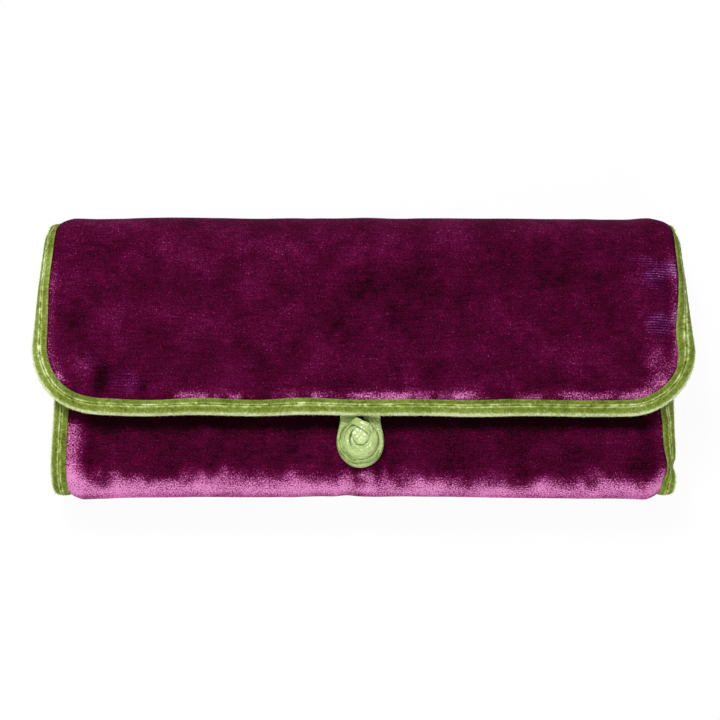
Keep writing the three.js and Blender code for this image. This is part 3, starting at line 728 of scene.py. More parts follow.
def swellAt(x, s):
    # the simulated swell in mm, between its points
    row = np.clip((s - simRows[0]) / (simRows[1] - simRows[0]), 0, len(simRows) - 1.001)
    across = np.clip(x / outlineHalf(s, rollSize["edgeInset"]), -1, 1)
    column = np.clip((across + 1) / 2 * (len(simColumns) - 1), 0, len(simColumns) - 1.001)
    i, j = row.astype(int), column.astype(int)
    down, over = row - i, column - j
    near = outerSwell[i, j] * (1 - over) + outerSwell[i, j + 1] * over
    far = outerSwell[i + 1, j] * (1 - over) + outerSwell[i + 1, j + 1] * over
    return near * (1 - down) + far * down


print("padding swollen")

# Hand-made dents of the velvet, in mm: x, place from the flap's or front's free edge, width, length, depth
dents = {
    "flap": [
        (-90.5, 12.5, 3.4, 4.5, 1.1), (-76.0, 9.0, 2.6, 3.0, 0.9), (-62.0, 12.0, 3.0, 4.0, 0.35),
        (24.0, 12.0, 6.0, 4.0, 0.3), (66.0, 12.0, 5.0, 4.0, 0.35),
        (10.0, 45.0, 30.0, 10.0, 0.4), (60.0, 55.0, 22.0, 8.0, 0.4),
    ],
    "front": [
        (-3.0, 47.0, 3.0, 6.0, 0.9), (-60.0, 45.0, 12.0, 6.0, 0.4), (55.0, 46.0, 10.0, 6.0, 0.4),
        (95.0, 40.0, 6.0, 8.0, 0.35), (-96.0, 38.0, 5.0, 7.0, 0.4), (30.0, 40.0, 14.0, 5.0, 0.25),
    ],
}


velvetWaves = [(0.35, 34, 3), (0.2, 13, 4), (0.07, 5, 5)]      # height and size in mm, seed


def dentPlaces():
    # each dent, with its place counted along the strip
    for side, places in dents.items():
        for dentX, fromEdge, wide, long, deep in places:
            yield dentX, stripEnd - fromEdge if side == "flap" else fromEdge, wide, long, deep


def velvetDepth(x, s):
    # depth of the velvet's face under the strip's outer side: crown, simulated swell, broad waves and dents
    bound = rollSize["bindingWidth"]
    inside = smoothStep(edgeDistance(x, s), bound, bound + 0.8 * crownRun(s))
    lift = padding["outerCap"] * np.tanh(swellAt(x, s) / padding["outerCap"])
    lift = lift + 0.35 * foldShare(s) * bell(edgeDistance(x, s), 10, 5)
    lowRight = smoothStep(x, 0, 80) * smoothStep(s, midTop, midTop + 8)
    lowRight = lowRight * smoothStep(s, flapStart + 14, flapStart)
    lift = lift - 0.7 * lowRight
    for height, cell, seed in velvetWaves:
        lift = lift + height * softNoise(x, s, cell, seed)
    for dentX, dentS, wide, long, deep in dentPlaces():
        lift = lift - deep * bell(x, dentX, wide) * bell(s, dentS, long)
    # the button draws the bottom fold in at its middle, with a short crease
    turn = (s - bottomStart) / bottomRadius
    lift = lift - 0.8 * bell(x, 0, 60) * bell(turn, 1.9, 0.8)
    lift = lift - 0.7 * bell(x, -6, 3) * bell(turn, 1.4, 0.6)
    # the front lies close under the flap, and the back is flat where it rests
    overlap = rollSize["frontEdge"] - rollSize["flapEdge"]
    covered = smoothStep(s, overlap + 3, overlap - 3)
    lift = lift * (1 - covered) + np.minimum(lift, 0.25) * covered
    resting = smoothStep(s, backStart - 10, backStart - 2) * smoothStep(s, topStart + 14, topStart + 3)
    lift = lift * (1 - resting) + np.minimum(lift, 0.0) * 0.15 * resting
    return midDepth - crownHalf(x, s) - lift * inside


napLook = {
    "bottom": 0.72,         # painted sheen on the bottom fold
    "bottomUndersideShade": 0.36,     # painted shade: share lost again below its outermost line
    "lowerRimSheen": 0.52,       # painted sheen beside the flap's lower binding
    "lowerRimSheenLoss": 0.07,   # less of it on the right
    # painted sheen along the flap's sides
    "rightRimSheen": 0.34,
    "leftRimSheen": 0.16,
    "corner": 0.3,          # painted sheen at the flap's lower right corner
    # painted sheen along the front's sides
    "frontLeft": 0.55,
    "frontRight": 0.22,
    "pucker": 0.45,         # painted sheen below the button
    # painted highlight beside a dent
    "dentSideHighlight": 0.1,
    "paintedDentShade": 0.25,         # painted shade, taken off in a dent
    # share of the painted violet sheen that also pales the pile
    "paintedVioletSheen": 0.06,
    "topSheen": 0.03,
    "paintedFlapShadow": 0.25,        # painted shadow, taken off where the flap rests on the front
    "middle": 0.05,         # taken off on the rest of the front
}


def velvetPaintedLight(x, s):
    # painted sheen from 0 to 1 and painted shade below 0: bottom fold most, then rims, edges and the pucker
    # at the button
    turn = (s - bottomStart) / bottomRadius
    wander = 0.06 * softNoise(x, s, 17, 11) + 0.1 * softNoise(x, s, 6, 12) - 0.09 * smoothStep(x, -20, 40)
    wander = wander + 0.14 * softNoise(x, s * 0.4, 2.4, 16)
    # painted sheen on the bottom fold, with painted shade below its outermost line
    nap = napLook["bottom"] * smoothStep(turn + wander, 0.29, 1.16)
    nap = nap * (1 - napLook["bottomUndersideShade"] * smoothStep(turn, 1.08, 1.5)) * (1 - smoothStep(turn, 2.3, 3.0))
    fromFlapEdge = stripEnd - s
    # painted sheen along the flap's rims, in patches
    rim = bell(edgeDistance(x, s), 6.3, 1.9)
    patchy = 0.4 + 0.75 * softNoise(x, s * 0, 12, 13) + 0.25 * softNoise(x, s, 4, 14)
    patchy = patchy + 0.1 * smoothStep(x, -40, 20)
    patchy = patchy + 0.7 * bell(x, -42, 11) + 0.6 * bell(x, 58, 9)
    onFlap = smoothStep(s, flapStart, flapStart + 8)
    lowerRimSheen = onFlap * smoothStep(fromFlapEdge, 22, 12)
    patchy = 1.25 * patchy - 0.15 + 0.5 * softNoise(x, s, 2.4, 17)
    lower = napLook["lowerRimSheen"] - napLook["lowerRimSheenLoss"] * smoothStep(x, 0, 40)
    nap = nap + lower * rim * lowerRimSheen * np.clip(patchy, 0, 1.2)
    for side, strength in ((1, napLook["rightRimSheen"]), (-1, napLook["leftRimSheen"])):
        nap = nap + strength * rim * onFlap * (1 - lowerRimSheen) * smoothStep(side * x, 60, 104)
    # painted sheen at the flap's lower right corner
    corner = bell(x, 101, 5) * bell(fromFlapEdge, 15, 8) * onFlap
    nap = nap + napLook["corner"] * corner * (1 + 0.6 * softNoise(x, s, 3, 18))
    # painted sheen along the front's left and right edges
    onFront = smoothStep(s, 22, 27) * (1 - smoothStep(turn, 1.0, 1.6))
    nap = nap + napLook["frontLeft"] * onFront * smoothStep(-x, 93, 101)
    nap = nap + napLook["frontRight"] * onFront * smoothStep(x, 96, 102)
    # painted sheen on the pucker below the button
    nap = nap + napLook["pucker"] * bell(x, -0.5, 3.0) * bell(turn, 0.62, 0.14)
    # painted sheen near the top fold
    sheen = smoothStep(s, topStart + 0.9 * topRadius, flapStart - 6)
    sheen = sheen * (1 - smoothStep(s, flapStart - 4, flapStart + 8))
    # each dent gets painted shade in its hollow and a painted highlight on the pile beside it
    for dentX, dentS, wide, long, deep in dentPlaces():
        paintedDentShade = bell(x, dentX, 0.8 * wide) * bell(s, dentS, 1.2 * long)
        paintedDentHighlight = bell(x, dentX - 1.6 * wide, wide) * bell(s, dentS - long, 1.2 * long)
        nap = nap + deep * (napLook["dentSideHighlight"] * paintedDentHighlight - napLook["paintedDentShade"] * paintedDentShade)
    # painted shadow: dark where the flap rests on the front
    paintedFlapShadow = smoothStep(s, 30.5, 25.0) * smoothStep(s, 20, 22) * smoothStep(102 - np.abs(x), 0, 8)
    middle = smoothStep(s, 22, 26) * smoothStep(turn, 0.5, 0.1)
    nap = nap + napLook["paintedVioletSheen"] * violetSheen(x, s) + napLook["topSheen"] * sheen
    return np.clip(nap - napLook["paintedFlapShadow"] * paintedFlapShadow - napLook["middle"] * middle, -0.4, 1)


# Painted violet sheen, in patches where the pile is combed flat: x and place from the flap's edge, half
# sizes, strength
paintedVioletSheen = [
    (102.0, 51.5, 6.5, 5.5, 1.0), (103.5, 33.0, 6.0, 4.5, 0.9),
    (-94.0, 18.5, 3.5, 3.0, 0.35), (-81.5, 12.0, 5.0, 4.5, 0.45),
]


def violetSheen(x, s):
    # from 0 to 1: soft patches with a ragged edge
    ragged = 0.5 * softNoise(x, s, 3, 15)
    sheen = np.zeros(np.broadcast(x, s).shape)
    for patchX, fromEdge, wide, long, strength in paintedVioletSheen:
        distance = np.hypot((x - patchX) / wide, (stripEnd - s - fromEdge) / long)
        sheen = np.maximum(sheen, strength * smoothStep(distance + ragged, 1.3, 0.5))
    return sheen


# The strip in four lengths, each with its ends along the strip and three names that go with its hinge line
lengths = {
    "front": (rollSize["edgeInset"], midBottom, "bottom_fold", "front", "front_open"),
    "lower_back": (midBottom, midBack, "back", "bottom_fold", "bottom_fold_open"),
    "upper_back": (midBack, midTop, "back", "top_fold", "top_fold_open"),
    "flap": (midTop, stripEnd - rollSize["edgeInset"], "top_fold", "flap", "flap_open"),
}


def bendPiece(piece):
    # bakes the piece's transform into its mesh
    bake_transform(piece)


def stripGrid(start, end, step, columns):
    # x and s of a grid over a length of the strip, out to its inset outline
    s = stripRows(start, end, rollSize["edgeInset"], step)[:, None]
    x = np.linspace(-1, 1, columns)[None, :] * outlineHalf(s, rollSize["edgeInset"])
    return x, np.broadcast_to(s, x.shape)


velvetGrid = {"step": 1.0, "columns": 231}
liningGrid = {"step": 2.0, "columns": 121}
stands = {
    "front": ("front",),
    "lower_back": ("bottom_fold",),
    "upper_back": ("back",),
    "flap": ("top_fold", "flap"),
}
for name, (start, end, *_) in lengths.items():
    x, s = stripGrid(start, end, **velvetGrid)
    outer = rollPoints(x, s, velvetDepth(x, s))
    outer[..., 2] = np.maximum(outer[..., 2], 0.0)
    inner = rollPoints(x, s, midDepth + crownHalf(x, s) - rollSize["liningThickness"] - 0.3)
    padShape = shellPart(outer, inner, x, s, nap=velvetPaintedLight(x, s), violet=violetSheen(x, s))
    pad = makePiece(name + "_velvet_pad", [padShape], [plumVelvet], 70)
    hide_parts(*[node + layer for node in stands[name] for layer in ("_velvet", "_padding")])
    bendPiece(pad)

    # the lining inside: satin laid over the wadding with a few soft gathers
    x, s = stripGrid(start, end, **liningGrid)
    inside = smoothStep(edgeDistance(x, s), rollSize["bindingWidth"], rollSize["bindingWidth"] + 8)
    lift = padding["innerCap"] * inside * (0.3 * softNoise(x, s, 16, 21) + 0.2 * softNoise(x, s, 6, 22) - 0.5)
    face = midDepth + crownHalf(x, s) + lift
    outer = rollPoints(x, s, face - rollSize["liningThickness"])
    liningShape = shellPart(outer, rollPoints(x, s, face), x, s)
    lining = makePiece(name + "_satin_lining", [liningShape], [greenSatin], 70)
    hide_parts(*[node + "_lining" for node in stands[name]])
    widths = 2 * outlineHalf(s[:, 0], rollSize["edgeInset"])
    flat = (float(widths.max()) * milli, float(s[-1, 0] - s[0, 0]) * milli)
    bendPiece(lining)
    print(name, "velvet and lining made")

# Binding: velvet ribbon folded over the edge and sewn through, with its pile standing at the fold
binding = {
    "outerHalf": 2.25,
    "slotHalf": 1.5,
    "slotEnd": 1.15,
    "innerEdge": 5.3,
    "step": 1.0,
    "ridges": ((3.4, 0.18), (2.6, 0.18)),     # mm from the edge and height, beside the sewn line
    "ridgeWidth": 0.22,
    "groove": (3.0, 0.13),
    "grooveWidth": 0.16,
    # its tone and painted light: all of it, its woven middle, painted highlight on the ridges, painted shade
    # in the groove and beside the fold, painted sheen on the fold
    "toneAndPaintedLight": {"all": 0.33, "middle": -0.14, "ridge": 0.34, "groove": -0.08, "shoulder": -0.12, "nose": 0.6},
    "endPaintedLight": 0.3,
    "tuftsPerMm": 20,
    "tuftLength": (0.15, 0.5),
    "tuftWidth": 0.055,
}


def bindingProfile():
    # inner edge on the velvet side, ridges and groove, round nose, the same below, then the slot for the lip
    a = np.linspace(binding["innerEdge"], binding["outerHalf"], 34)
    end = (a - binding["outerHalf"]) / (binding["innerEdge"] - binding["outerHalf"])
    height = binding["outerHalf"] - 0.55 * end ** 8
    place, deep = binding["groove"]
    height = height - deep * bell(a, place, binding["grooveWidth"])
    for place, tall in binding["ridges"]:
        height = height + tall * bell(a, place, binding["ridgeWidth"])
    turn = np.linspace(0, math.pi, 20)[1:-1]
    noseA = binding["outerHalf"] * (1 - np.sin(turn))
    noseH = binding["outerHalf"] * np.cos(turn)
    slotMouth = binding["innerEdge"] - 0.3
    slotA = np.array([slotMouth, binding["slotEnd"], binding["slotEnd"], slotMouth])
    slotH = np.array([-1, -1, 1, 1]) * binding["slotHalf"]
    across = np.concatenate([a, noseA, a[::-1], slotA])
    above = np.concatenate([height, noseH, -height[::-1], slotH])
    # tone of the ribbon with painted highlight on the ridges, painted shade in the groove and beside the
    # fold, and painted sheen on the nose
    share = binding["toneAndPaintedLight"]
    toneAndPaintedLight = share["all"] + share["middle"] * smoothStep(np.abs(across - 4.3), 0.8, 0.2)
    for place, tall in binding["ridges"]:
        toneAndPaintedLight = toneAndPaintedLight + share["ridge"] * bell(across, place, binding["ridgeWidth"])
    toneAndPaintedLight = toneAndPaintedLight + share["groove"] * bell(across, binding["groove"][0], binding["grooveWidth"])
    toneAndPaintedLight = toneAndPaintedLight + share["shoulder"] * bell(across, 1.7, 0.45)
    return across, above, toneAndPaintedLight + share["nose"] * smoothStep(across, 1.0, 0.2)


def bindingPaths(name):
    # lines of x, s and the inward direction along the strip's outline
    start, end = lengths[name][:2]
    step = binding["step"]
    if name in ("lower_back", "upper_back"):
        s = np.linspace(start, end, int((end - start) / step) + 1)
        zero = np.zeros_like(s)
        return [np.stack([side * halfWidth(s), s, -side + zero, zero], -1) for side in (-1, 1)]
    corner = rollSize["frontCorner"] if name == "front" else rollSize["flapCorner"]
    wide = rollSize["frontHalf"] if name == "front" else rollSize["flapHalf"]
    reach = end if name == "front" else stripEnd - start
    fromEnd = np.linspace(reach, corner, int((reach - corner) / step) + 1)
    place = fromEnd if name == "front" else stripEnd - fromEnd
    zero = np.zeros_like(fromEnd)
    left = np.stack([-halfWidth(place), fromEnd, 1 + zero, zero], -1)
    turn = np.linspace(0, math.pi / 2, int(corner * math.pi / 2 / step) + 1)[1:-1]
    bendX = corner - wide - corner * np.cos(turn)
    bendS = corner - corner * np.sin(turn)
    bend = np.stack([bendX, bendS, np.cos(turn), np.sin(turn)], -1)
    edgeX = np.linspace(corner - wide, wide - corner, int(2 * (wide - corner) / step) + 1)
    zero = np.zeros_like(edgeX)
    edge = np.stack([edgeX, zero, zero, 1 + zero], -1)
    flip = np.array([-1, 1, -1, 1])
    path = np.concatenate([left, bend, edge, bend[::-1] * flip, left[::-1] * flip])
    if name == "flap":
        path[:, 1] = stripEnd - path[:, 1]
        path[:, 3] *= -1
    return [path]


profileA, profileH, profileToneAndPaintedLight = bindingProfile()
for name in lengths:
    parts = []
    for number, path in enumerate(bindingPaths(name)):
        # sewn by hand, so the long edge isn't quite straight
        path[:, 1] += 0.5 * softNoise(path[:, 0], path[:, 0] * 0, 19, 38) * path[:, 3] * np.abs(path[:, 3])
        x, s, inX, inS = (path[:, i:i + 1] for i in range(4))
        along = lengthAlong(path[:, :2])
        seed = 40 + 2 * number
        # the ribbon puckers a little at each stitch and wanders a little along the edge
        ease = smoothStep(np.minimum(along, along[-1] - along), 0, 4)
        uneven = 0.05 * softNoise(along, along * 0, 5, seed)
        pucker = 1 + ease * (uneven + 0.03 * np.sin(along * 2 * math.pi / 3.2))
        pucker = pucker * (1 - 0.25 * foldShare(s))
        wander = ease * (0.22 * softNoise(along, along * 0, 17, seed + 1))
        inner = smoothStep(profileA[None, :], 1.5, 5.0)
        # more of it shows above the flap's right corner
        wider = 1.2 * smoothStep(x, 100, 104) * bell(stripEnd - s, 27, 11)
        a = profileA[None, :] + (wander + wider) * inner
        n = midDepth - profileH[None, :] * pucker
        points = rollPoints(x + a * inX, s + a * inS, n)
        points[..., 2] = np.maximum(points[..., 2], 0.0)
        around = lengthAlong(np.stack([profileA, profileH], -1)).T
        # tone and painted light round the profile, varied along the ribbon
        nap = profileToneAndPaintedLight[None, :] + 0.1 * softNoise(along, around, 6, seed)
        onRidge = bell(profileA[None, :], binding["groove"][0], 0.6)
        # painted sheen on the flap's left binding, darker on the rest of the left side
        nap = nap + smoothStep(-x, 100, 108) * np.where(s > flapStart, 0.1, -0.07)
        # the painted light on the ridges and groove breaks up along the ribbon
        nap = nap + 0.42 * onRidge * softNoise(along, around, 1.1, seed + 3)
        nap = nap + 0.12 * softNoise(along, around, 0.9, seed + 4)
        nap = np.append(np.broadcast_to(nap, points.shape[:2]), [binding["endPaintedLight"]] * 2)
        parts.append(tubePart(points, joinAxes(along, around), nap=nap))

        # tufts of pile: thin three-sided spikes that stand on the nose
        rng = np.random.default_rng(seed + 60)
        count = int(along[-1, 0] * binding["tuftsPerMm"])
        where = rng.random(count) * (len(path) - 1)
        k = where.astype(int)
        mix = (where - k)[:, None]
        base = path[k] * (1 - mix) + path[k + 1] * mix
        turn = rng.normal(1.35, 0.5, count)
        reach = rng.uniform(*binding["tuftLength"], count)
        leanA, leanN = rng.normal(0, 0.25, (2, count))
        leanAlong = rng.normal(0, 0.25, count)
        spokes = np.arange(3) * 2 * math.pi / 3

        def tuftPoint(out, sideways, upwards, shift):
            # a point that far out from the nose, moved on its surface and along the edge
            radius = binding["outerHalf"] + out
            a = binding["outerHalf"] - radius * np.sin(turn) + upwards
            n = midDepth - radius * np.cos(turn) + sideways
            tuftX = base[:, 0] + a * base[:, 2] - shift * base[:, 3]
            tuftS = base[:, 1] + a * base[:, 3] + shift * base[:, 2]
            return rollPoints(tuftX, tuftS, n)

        wide = binding["tuftWidth"]
        foot = [tuftPoint(-0.12, wide * math.sin(w) * np.sin(turn), 0, wide * math.cos(w)) for w in spokes]
        tip = tuftPoint(reach, leanN * reach, leanA * reach, leanAlong * reach)
        tufts = np.stack([*foot, tip], axis=1)
        tufts[..., 2] = np.maximum(tufts[..., 2], 0.0)
        one = np.array([[0, 1, 3, 3], [1, 2, 3, 3], [2, 0, 3, 3], [2, 1, 0, 0]])
        faces = (np.arange(count)[:, None, None] * 4 + one).reshape(-1, 4)
        # the tufts are pale with painted sheen
        tuftPaintedSheen = np.repeat(rng.uniform(0.55, 1.1, count), 4)
        tuftUv = np.repeat(np.stack([where, turn], -1), 4, axis=0)
        parts.append({"points": tufts.reshape(-1, 3), "faces": faces, "uv": tuftUv, "nap": tuftPaintedSheen})
    edge = makePiece(name + "_binding_ribbon", parts, [oliveVelvet], 75)
    stood = {
        "front": ["front_binding"],
        "lower_back": ["bottom_fold_binding_left", "bottom_fold_binding_right"],
        "upper_back": ["back_binding_left", "back_binding_right"],
        "flap": ["flap_binding", "top_fold_binding_left", "top_fold_binding_right"],
    }[name]
    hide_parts(*stood)
    bendPiece(edge)
print("binding made")

# Rosette: satin ribbon wound round a six-sided bud, each wrap a separate band that lies over the last
rosette = {
    "halfWidth": 6.45,
    "halfDepth": 7.0,
    "low": nodeBox("button_base")[0][2],
    "ribbonLow": nodeBox("button_rosette")[0][2],
    "core": 3.0,            # mm, height of the filled middle under the bands
    "coreDrop": 1.5,
    "thickness": 0.34,
    "crumple": 0.07,
    "drawnSize": 6.4,       # half size that the wraps are written for
    "rows": 200,
    # wraps from the outside in: start and end angle, radius, height, width and outward tilt
    "wraps": [
        {"turn": (95, -275), "radius": (5.84, 5.86), "height": (2.6, 2.5), "width": 2.7, "tilt": 67},
        {"turn": (165, 305), "radius": (5.5, 5.55), "height": (3.35, 3.0), "width": 1.4, "tilt": 40},
        {"turn": (70, -250), "radius": (5.0, 4.8), "height": (3.5, 3.45), "width": 2.3, "tilt": 27},
        {"turn": (-120, 30), "radius": (4.8, 5.1), "height": (4.05, 3.65), "width": 1.5, "tilt": 20},
        {"turn": (150, 285), "radius": (4.5, 4.9), "height": (4.15, 3.65), "width": 1.4, "tilt": 16},
        {"turn": (140, -140), "radius": (3.5, 3.2), "height": (3.9, 3.9), "width": 2.1, "tilt": -10},
    ],
    # the band that crosses the bud: points from the middle with height, and its width
    "band": [
        (-2.9, 6.9, 1.4), (-1.7, 6.3, 3.3), (0.1, 5.1, 4.6), (1.7, 3.9, 5.0),
        (3.2, 2.7, 4.8), (4.3, 1.8, 3.5), (4.8, 1.3, 2.2),
    ],
    "bandWidth": 2.9,
    "bandCrumple": 0.06,
    "bandTilt": 13,
    # corners of the bud, from its middle, and its height
    "bud": [
        (-1.5, 2.6), (-2.7, 1.0), (-2.6, -0.2), (-0.9, -2.5),
        (1.2, -2.5), (2.4, -0.8), (2.7, 0.9), (1.0, 2.8),
    ],
    "budMiddle": (0.1, 0.7),
    "budHeight": 4.6,
    "budTurn": 0.7,
}


def smoothLine(knots, count):
    # Catmull-Rom curve through the points
    knots = np.asarray(knots, float)
    t = np.linspace(0, len(knots) - 1, count)
    i = np.minimum(t.astype(int), len(knots) - 2)
    f = (t - i)[:, None]
    before, here, after = knots[np.maximum(i - 1, 0)], knots[i], knots[i + 1]
    beyond = knots[np.minimum(i + 2, len(knots) - 1)]
    square = 2 * before - 5 * here + 4 * after - beyond
    cube = 3 * here - before - 3 * after + beyond
    return 0.5 * (2 * here + (after - before) * f + square * f ** 2 + cube * f ** 3)


def ribbonBand(line, width, tilt, thickness, crumple, seed, columns=26):
    # a thin closed band along a line, tilted about it, with lengthwise creases and soft edges
    ahead = unitRows(np.gradient(line, axis=0))
    level = unitRows(np.stack([ahead[:, 1], -ahead[:, 0], np.zeros(len(line))], -1))
    upright = np.cross(level, ahead)
    tilt = np.broadcast_to(tilt, len(line))[:, None]
    sideways = level * np.cos(tilt) - upright * np.sin(tilt)
    upright = np.cross(sideways, ahead)
    along = lengthAlong(line)
    v = np.linspace(-1, 1, columns)[None, :]
    across = v * width / 2 * (1 + 0.06 * softNoise(along, along * 0, 2.5, seed))
    creases = 1 - 2.4 * np.abs(softNoise(along / 3.2, across / 0.6, 1, seed + 1))
    lift = crumple * (creases + 0.7 * softNoise(along + across, across, 0.8, seed + 2))
    half = thickness / 2 * np.sqrt(1 - 0.9 * np.abs(v) ** 8)
    middle = line[:, None, :] + across[..., None] * sideways[:, None, :]
    top = middle + (lift + half)[..., None] * upright[:, None, :]
    below = middle + (lift - half)[..., None] * upright[:, None, :]
    return shellPart(top, below, along + 7 * seed, across, crease=1.0)


roseMiddle = np.array([buttonX, buttonY, rosette["ribbonLow"]])
roseHalf = np.array([rosette["halfWidth"], rosette["halfDepth"], rosette["drawnSize"]])
roseStretch = roseHalf / rosette["drawnSize"]
roseParts = []
for number, wrap in enumerate(rosette["wraps"]):
    t = np.linspace(0, 1, rosette["rows"])
    angle = np.radians(wrap["turn"][0] + (wrap["turn"][1] - wrap["turn"][0]) * t)
    radius = wrap["radius"][0] + (wrap["radius"][1] - wrap["radius"][0]) * t
    radius = radius + 0.1 * softNoise(angle, angle * 0, 0.8, 130 + number)
    height = wrap["height"][0] + (wrap["height"][1] - wrap["height"][0]) * t
    height = height + 0.1 * softNoise(angle, angle * 0, 0.6, 140 + number)
    # both ends are tucked in under the next wrap
    height = height - 0.7 * (1 - smoothStep(np.minimum(t, 1 - t), 0, 0.12))
    line = np.stack([radius * np.cos(angle), radius * np.sin(angle), height], -1) * roseStretch
    # the band's outer edge is the lower one, whichever way the wrap goes round
    tilt = math.radians(wrap["tilt"]) * (-1 if wrap["turn"][1] < wrap["turn"][0] else 1)
    seed = 150 + 4 * number
    line = line + roseMiddle
    roseParts.append(ribbonBand(line, wrap["width"], tilt, rosette["thickness"], rosette["crumple"], seed))
line = smoothLine(rosette["band"], 120) + roseMiddle
tilt = -math.radians(rosette["bandTilt"])
crossBand = rosette["bandWidth"], tilt, rosette["thickness"], rosette["bandCrumple"]
roseParts.append(ribbonBand(line, *crossBand, 190))

# the bud: a folded end of ribbon with rounded corners, flat on top
corners = np.array(rosette["bud"] + rosette["bud"][:1])
places = np.linspace(0, len(corners) - 1, 181)[:-1]
straight = np.stack([np.interp(places, np.arange(len(corners)), corners[:, i]) for i in (0, 1)], -1)
rim = 1.12 * (0.2 * smoothLine(corners, 181)[:-1] + 0.8 * straight)
reach = np.concatenate([np.linspace(0.02, 1, 40), np.ones(12)])[:, None]
fall = np.concatenate([0.22 * np.linspace(0, 1, 40) ** 4, 0.22 + np.linspace(0.1, 1.6, 12)])[:, None]
budX, budY = reach * rim[None, :, 0], reach * rim[None, :, 1]
budZ = rosette["budHeight"] - fall + 0.1 * softNoise(budX + budY, budY - budX, 1.6, 195) * (fall < 0.3)
budPlace = roseMiddle + np.array([*rosette["budMiddle"], 0])
bud = tubePart(joinAxes(budX, budY, budZ) + budPlace, crease=0.3)
# its weave runs askew
cosine, sine = math.cos(rosette["budTurn"]), math.sin(rosette["budTurn"])
bud["uv"] = bud["points"][:, :2] @ np.array([[cosine, -sine], [sine, cosine]])
roseParts.append(bud)

# the filled middle that the bands are sewn to
angle = np.linspace(0, 2 * math.pi, 120, endpoint=False)[None, :]
reach = np.linspace(0.02, 1, 30)[:, None]
coreX = 0.84 * rosette["halfWidth"] * reach * np.cos(angle)
coreY = 0.84 * rosette["halfDepth"] * reach * np.sin(angle)
coreTop = joinAxes(coreX, coreY, rosette["core"] - rosette["coreDrop"] * reach ** 4)
coreFoot = coreTop[-1] * np.array([0.8, 0.8, 0]) + np.array([0, 0, rosette["low"] - rosette["ribbonLow"]])
rings = np.concatenate([coreTop, coreFoot[None]]) + roseMiddle
roseParts.append(tubePart(rings))
rose = makePiece("rosette", roseParts, [greenSatin], 60)
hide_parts("button_rosette", "button_base")
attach(rose, "front")
print("rosette made")

# Loop: one satin ribbon, wide and flat where it comes from under the flap, folded on edge round the rosette
loop = {
    "outerX": 8.15,
    "outerY": 9.05,
    "innerX": 6.3,          # it hugs the rosette
    "innerY": 6.8,
    "rootOuter": 6.95,
    "rootInner": 1.1,
    "rootY": nodeBox("closure_loop")[1][1] + 0.25,
    "low": nodeBox("closure_loop")[0][2],
    "edgeHeight": 3.6,
    "rootHeight": 1.0,
    "crease": 0.62,
    "crossing": [
        (2.3, 9.4), (3.9, 6.9), (5.5, 4.5), (6.7, 2.0), (7.2, -0.6), (6.9, -2.9), (5.9, -5.0), (4.3, -6.7),
    ],
    "crossWidth": 1.25,
    "crossTuck": 2.2,
    "crossRows": 90,
    "around": 72,
    "gapDepth": 0.42,
}
legLength = loop["rootY"] - buttonY
legY = np.linspace(legLength, 0, 46)[:-1]
hug = loop["innerX"] * np.sqrt(np.clip(1 - (legY / loop["innerY"]) ** 2, 0, 1))
straight = loop["rootInner"] + 2.2 * (legLength - legY) / 2.7
innerX = np.where(legY > 5.6, straight, np.maximum(hug, np.minimum(straight, 3.3)))
outerX = loop["outerX"] + (loop["rootOuter"] - loop["outerX"]) * smoothStep(legY, 0, legLength)
legShare = 1 - legY / legLength
flat = np.stack([-innerX, legY, -outerX, legY], -1)
sweep = np.linspace(0, math.pi, 110)
under = [-loop["innerX"] * np.cos(sweep), -loop["innerY"] * np.sin(sweep)]
under = np.stack(under + [-loop["outerX"] * np.cos(sweep), -loop["outerY"] * np.sin(sweep)], -1)
# columns: inner edge, outer edge, share on edge, place of the fold across the ribbon
turned = smoothStep(legShare, 0.1, 0.95)
left = np.column_stack([flat, turned, -0.42 + 0.3 * legShare])
right = np.column_stack([flat * np.array([-1, 1, -1, 1]), turned, -0.5 + 0.9 * legShare])[::-1]
even = np.ones_like(sweep)
path = np.concatenate([left, np.column_stack([under, even, 0.12 * even]), right])
# section: the outer layer leans out, then come the edges of two more layers with a gap before each
outlineAcross = np.array([
    0.5, 0.5, 0.47, 0.37, 0.3, 0.25, 0.21, 0.17, 0.08,
    0.0, -0.08, -0.12, -0.16, -0.24, -0.34, -0.44, -0.5, -0.5,
])
outlineAbove = np.array([
    0.0, 0.3, 0.6, 0.88, 0.95, 0.95, 0.95, 0.97, 1.0,
    1.0, 0.97, 0.96, 0.95, 0.96, 0.96, 0.88, 0.6, 0.0,
])
gaps = np.zeros((2, len(outlineAcross)))
gaps[0, 6] = loop["gapDepth"]
gaps[1, 11] = loop["gapDepth"]
lengthRound = lengthAlong(np.stack([outlineAcross, outlineAbove], -1))[:, 0]
spread = np.linspace(0, lengthRound[-1], loop["around"])
across = np.interp(spread, lengthRound, outlineAcross)[None, :]
flatAbove = np.interp(spread, lengthRound, outlineAbove)[None, :]
gaps = [np.interp(spread, lengthRound, gap)[None, :] for gap in gaps]
onEdge, foldPlace = path[:, 4:5], path[:, 5:6]
width = np.hypot(path[:, 2] - path[:, 0], path[:, 3] - path[:, 1])[:, None]
height = loop["rootHeight"] + (loop["edgeHeight"] - loop["rootHeight"]) * onEdge
middle = (path[:, :2] + path[:, 2:4]) / 2
alongLoop = lengthAlong(middle)
part = alongLoop / alongLoop[-1]
fold = bell((across - foldPlace) * width, 0, 0.28)
# narrow folds where the ribbon bunches, low on the left
bunch = smoothStep(part, 0.27, 0.33) * smoothStep(part, 0.5, 0.44)
for place in (-0.3, 0.3):
    fold = fold + bunch * bell((across - place - 0.8 * (part - 0.38)) * width, 0, 0.16)
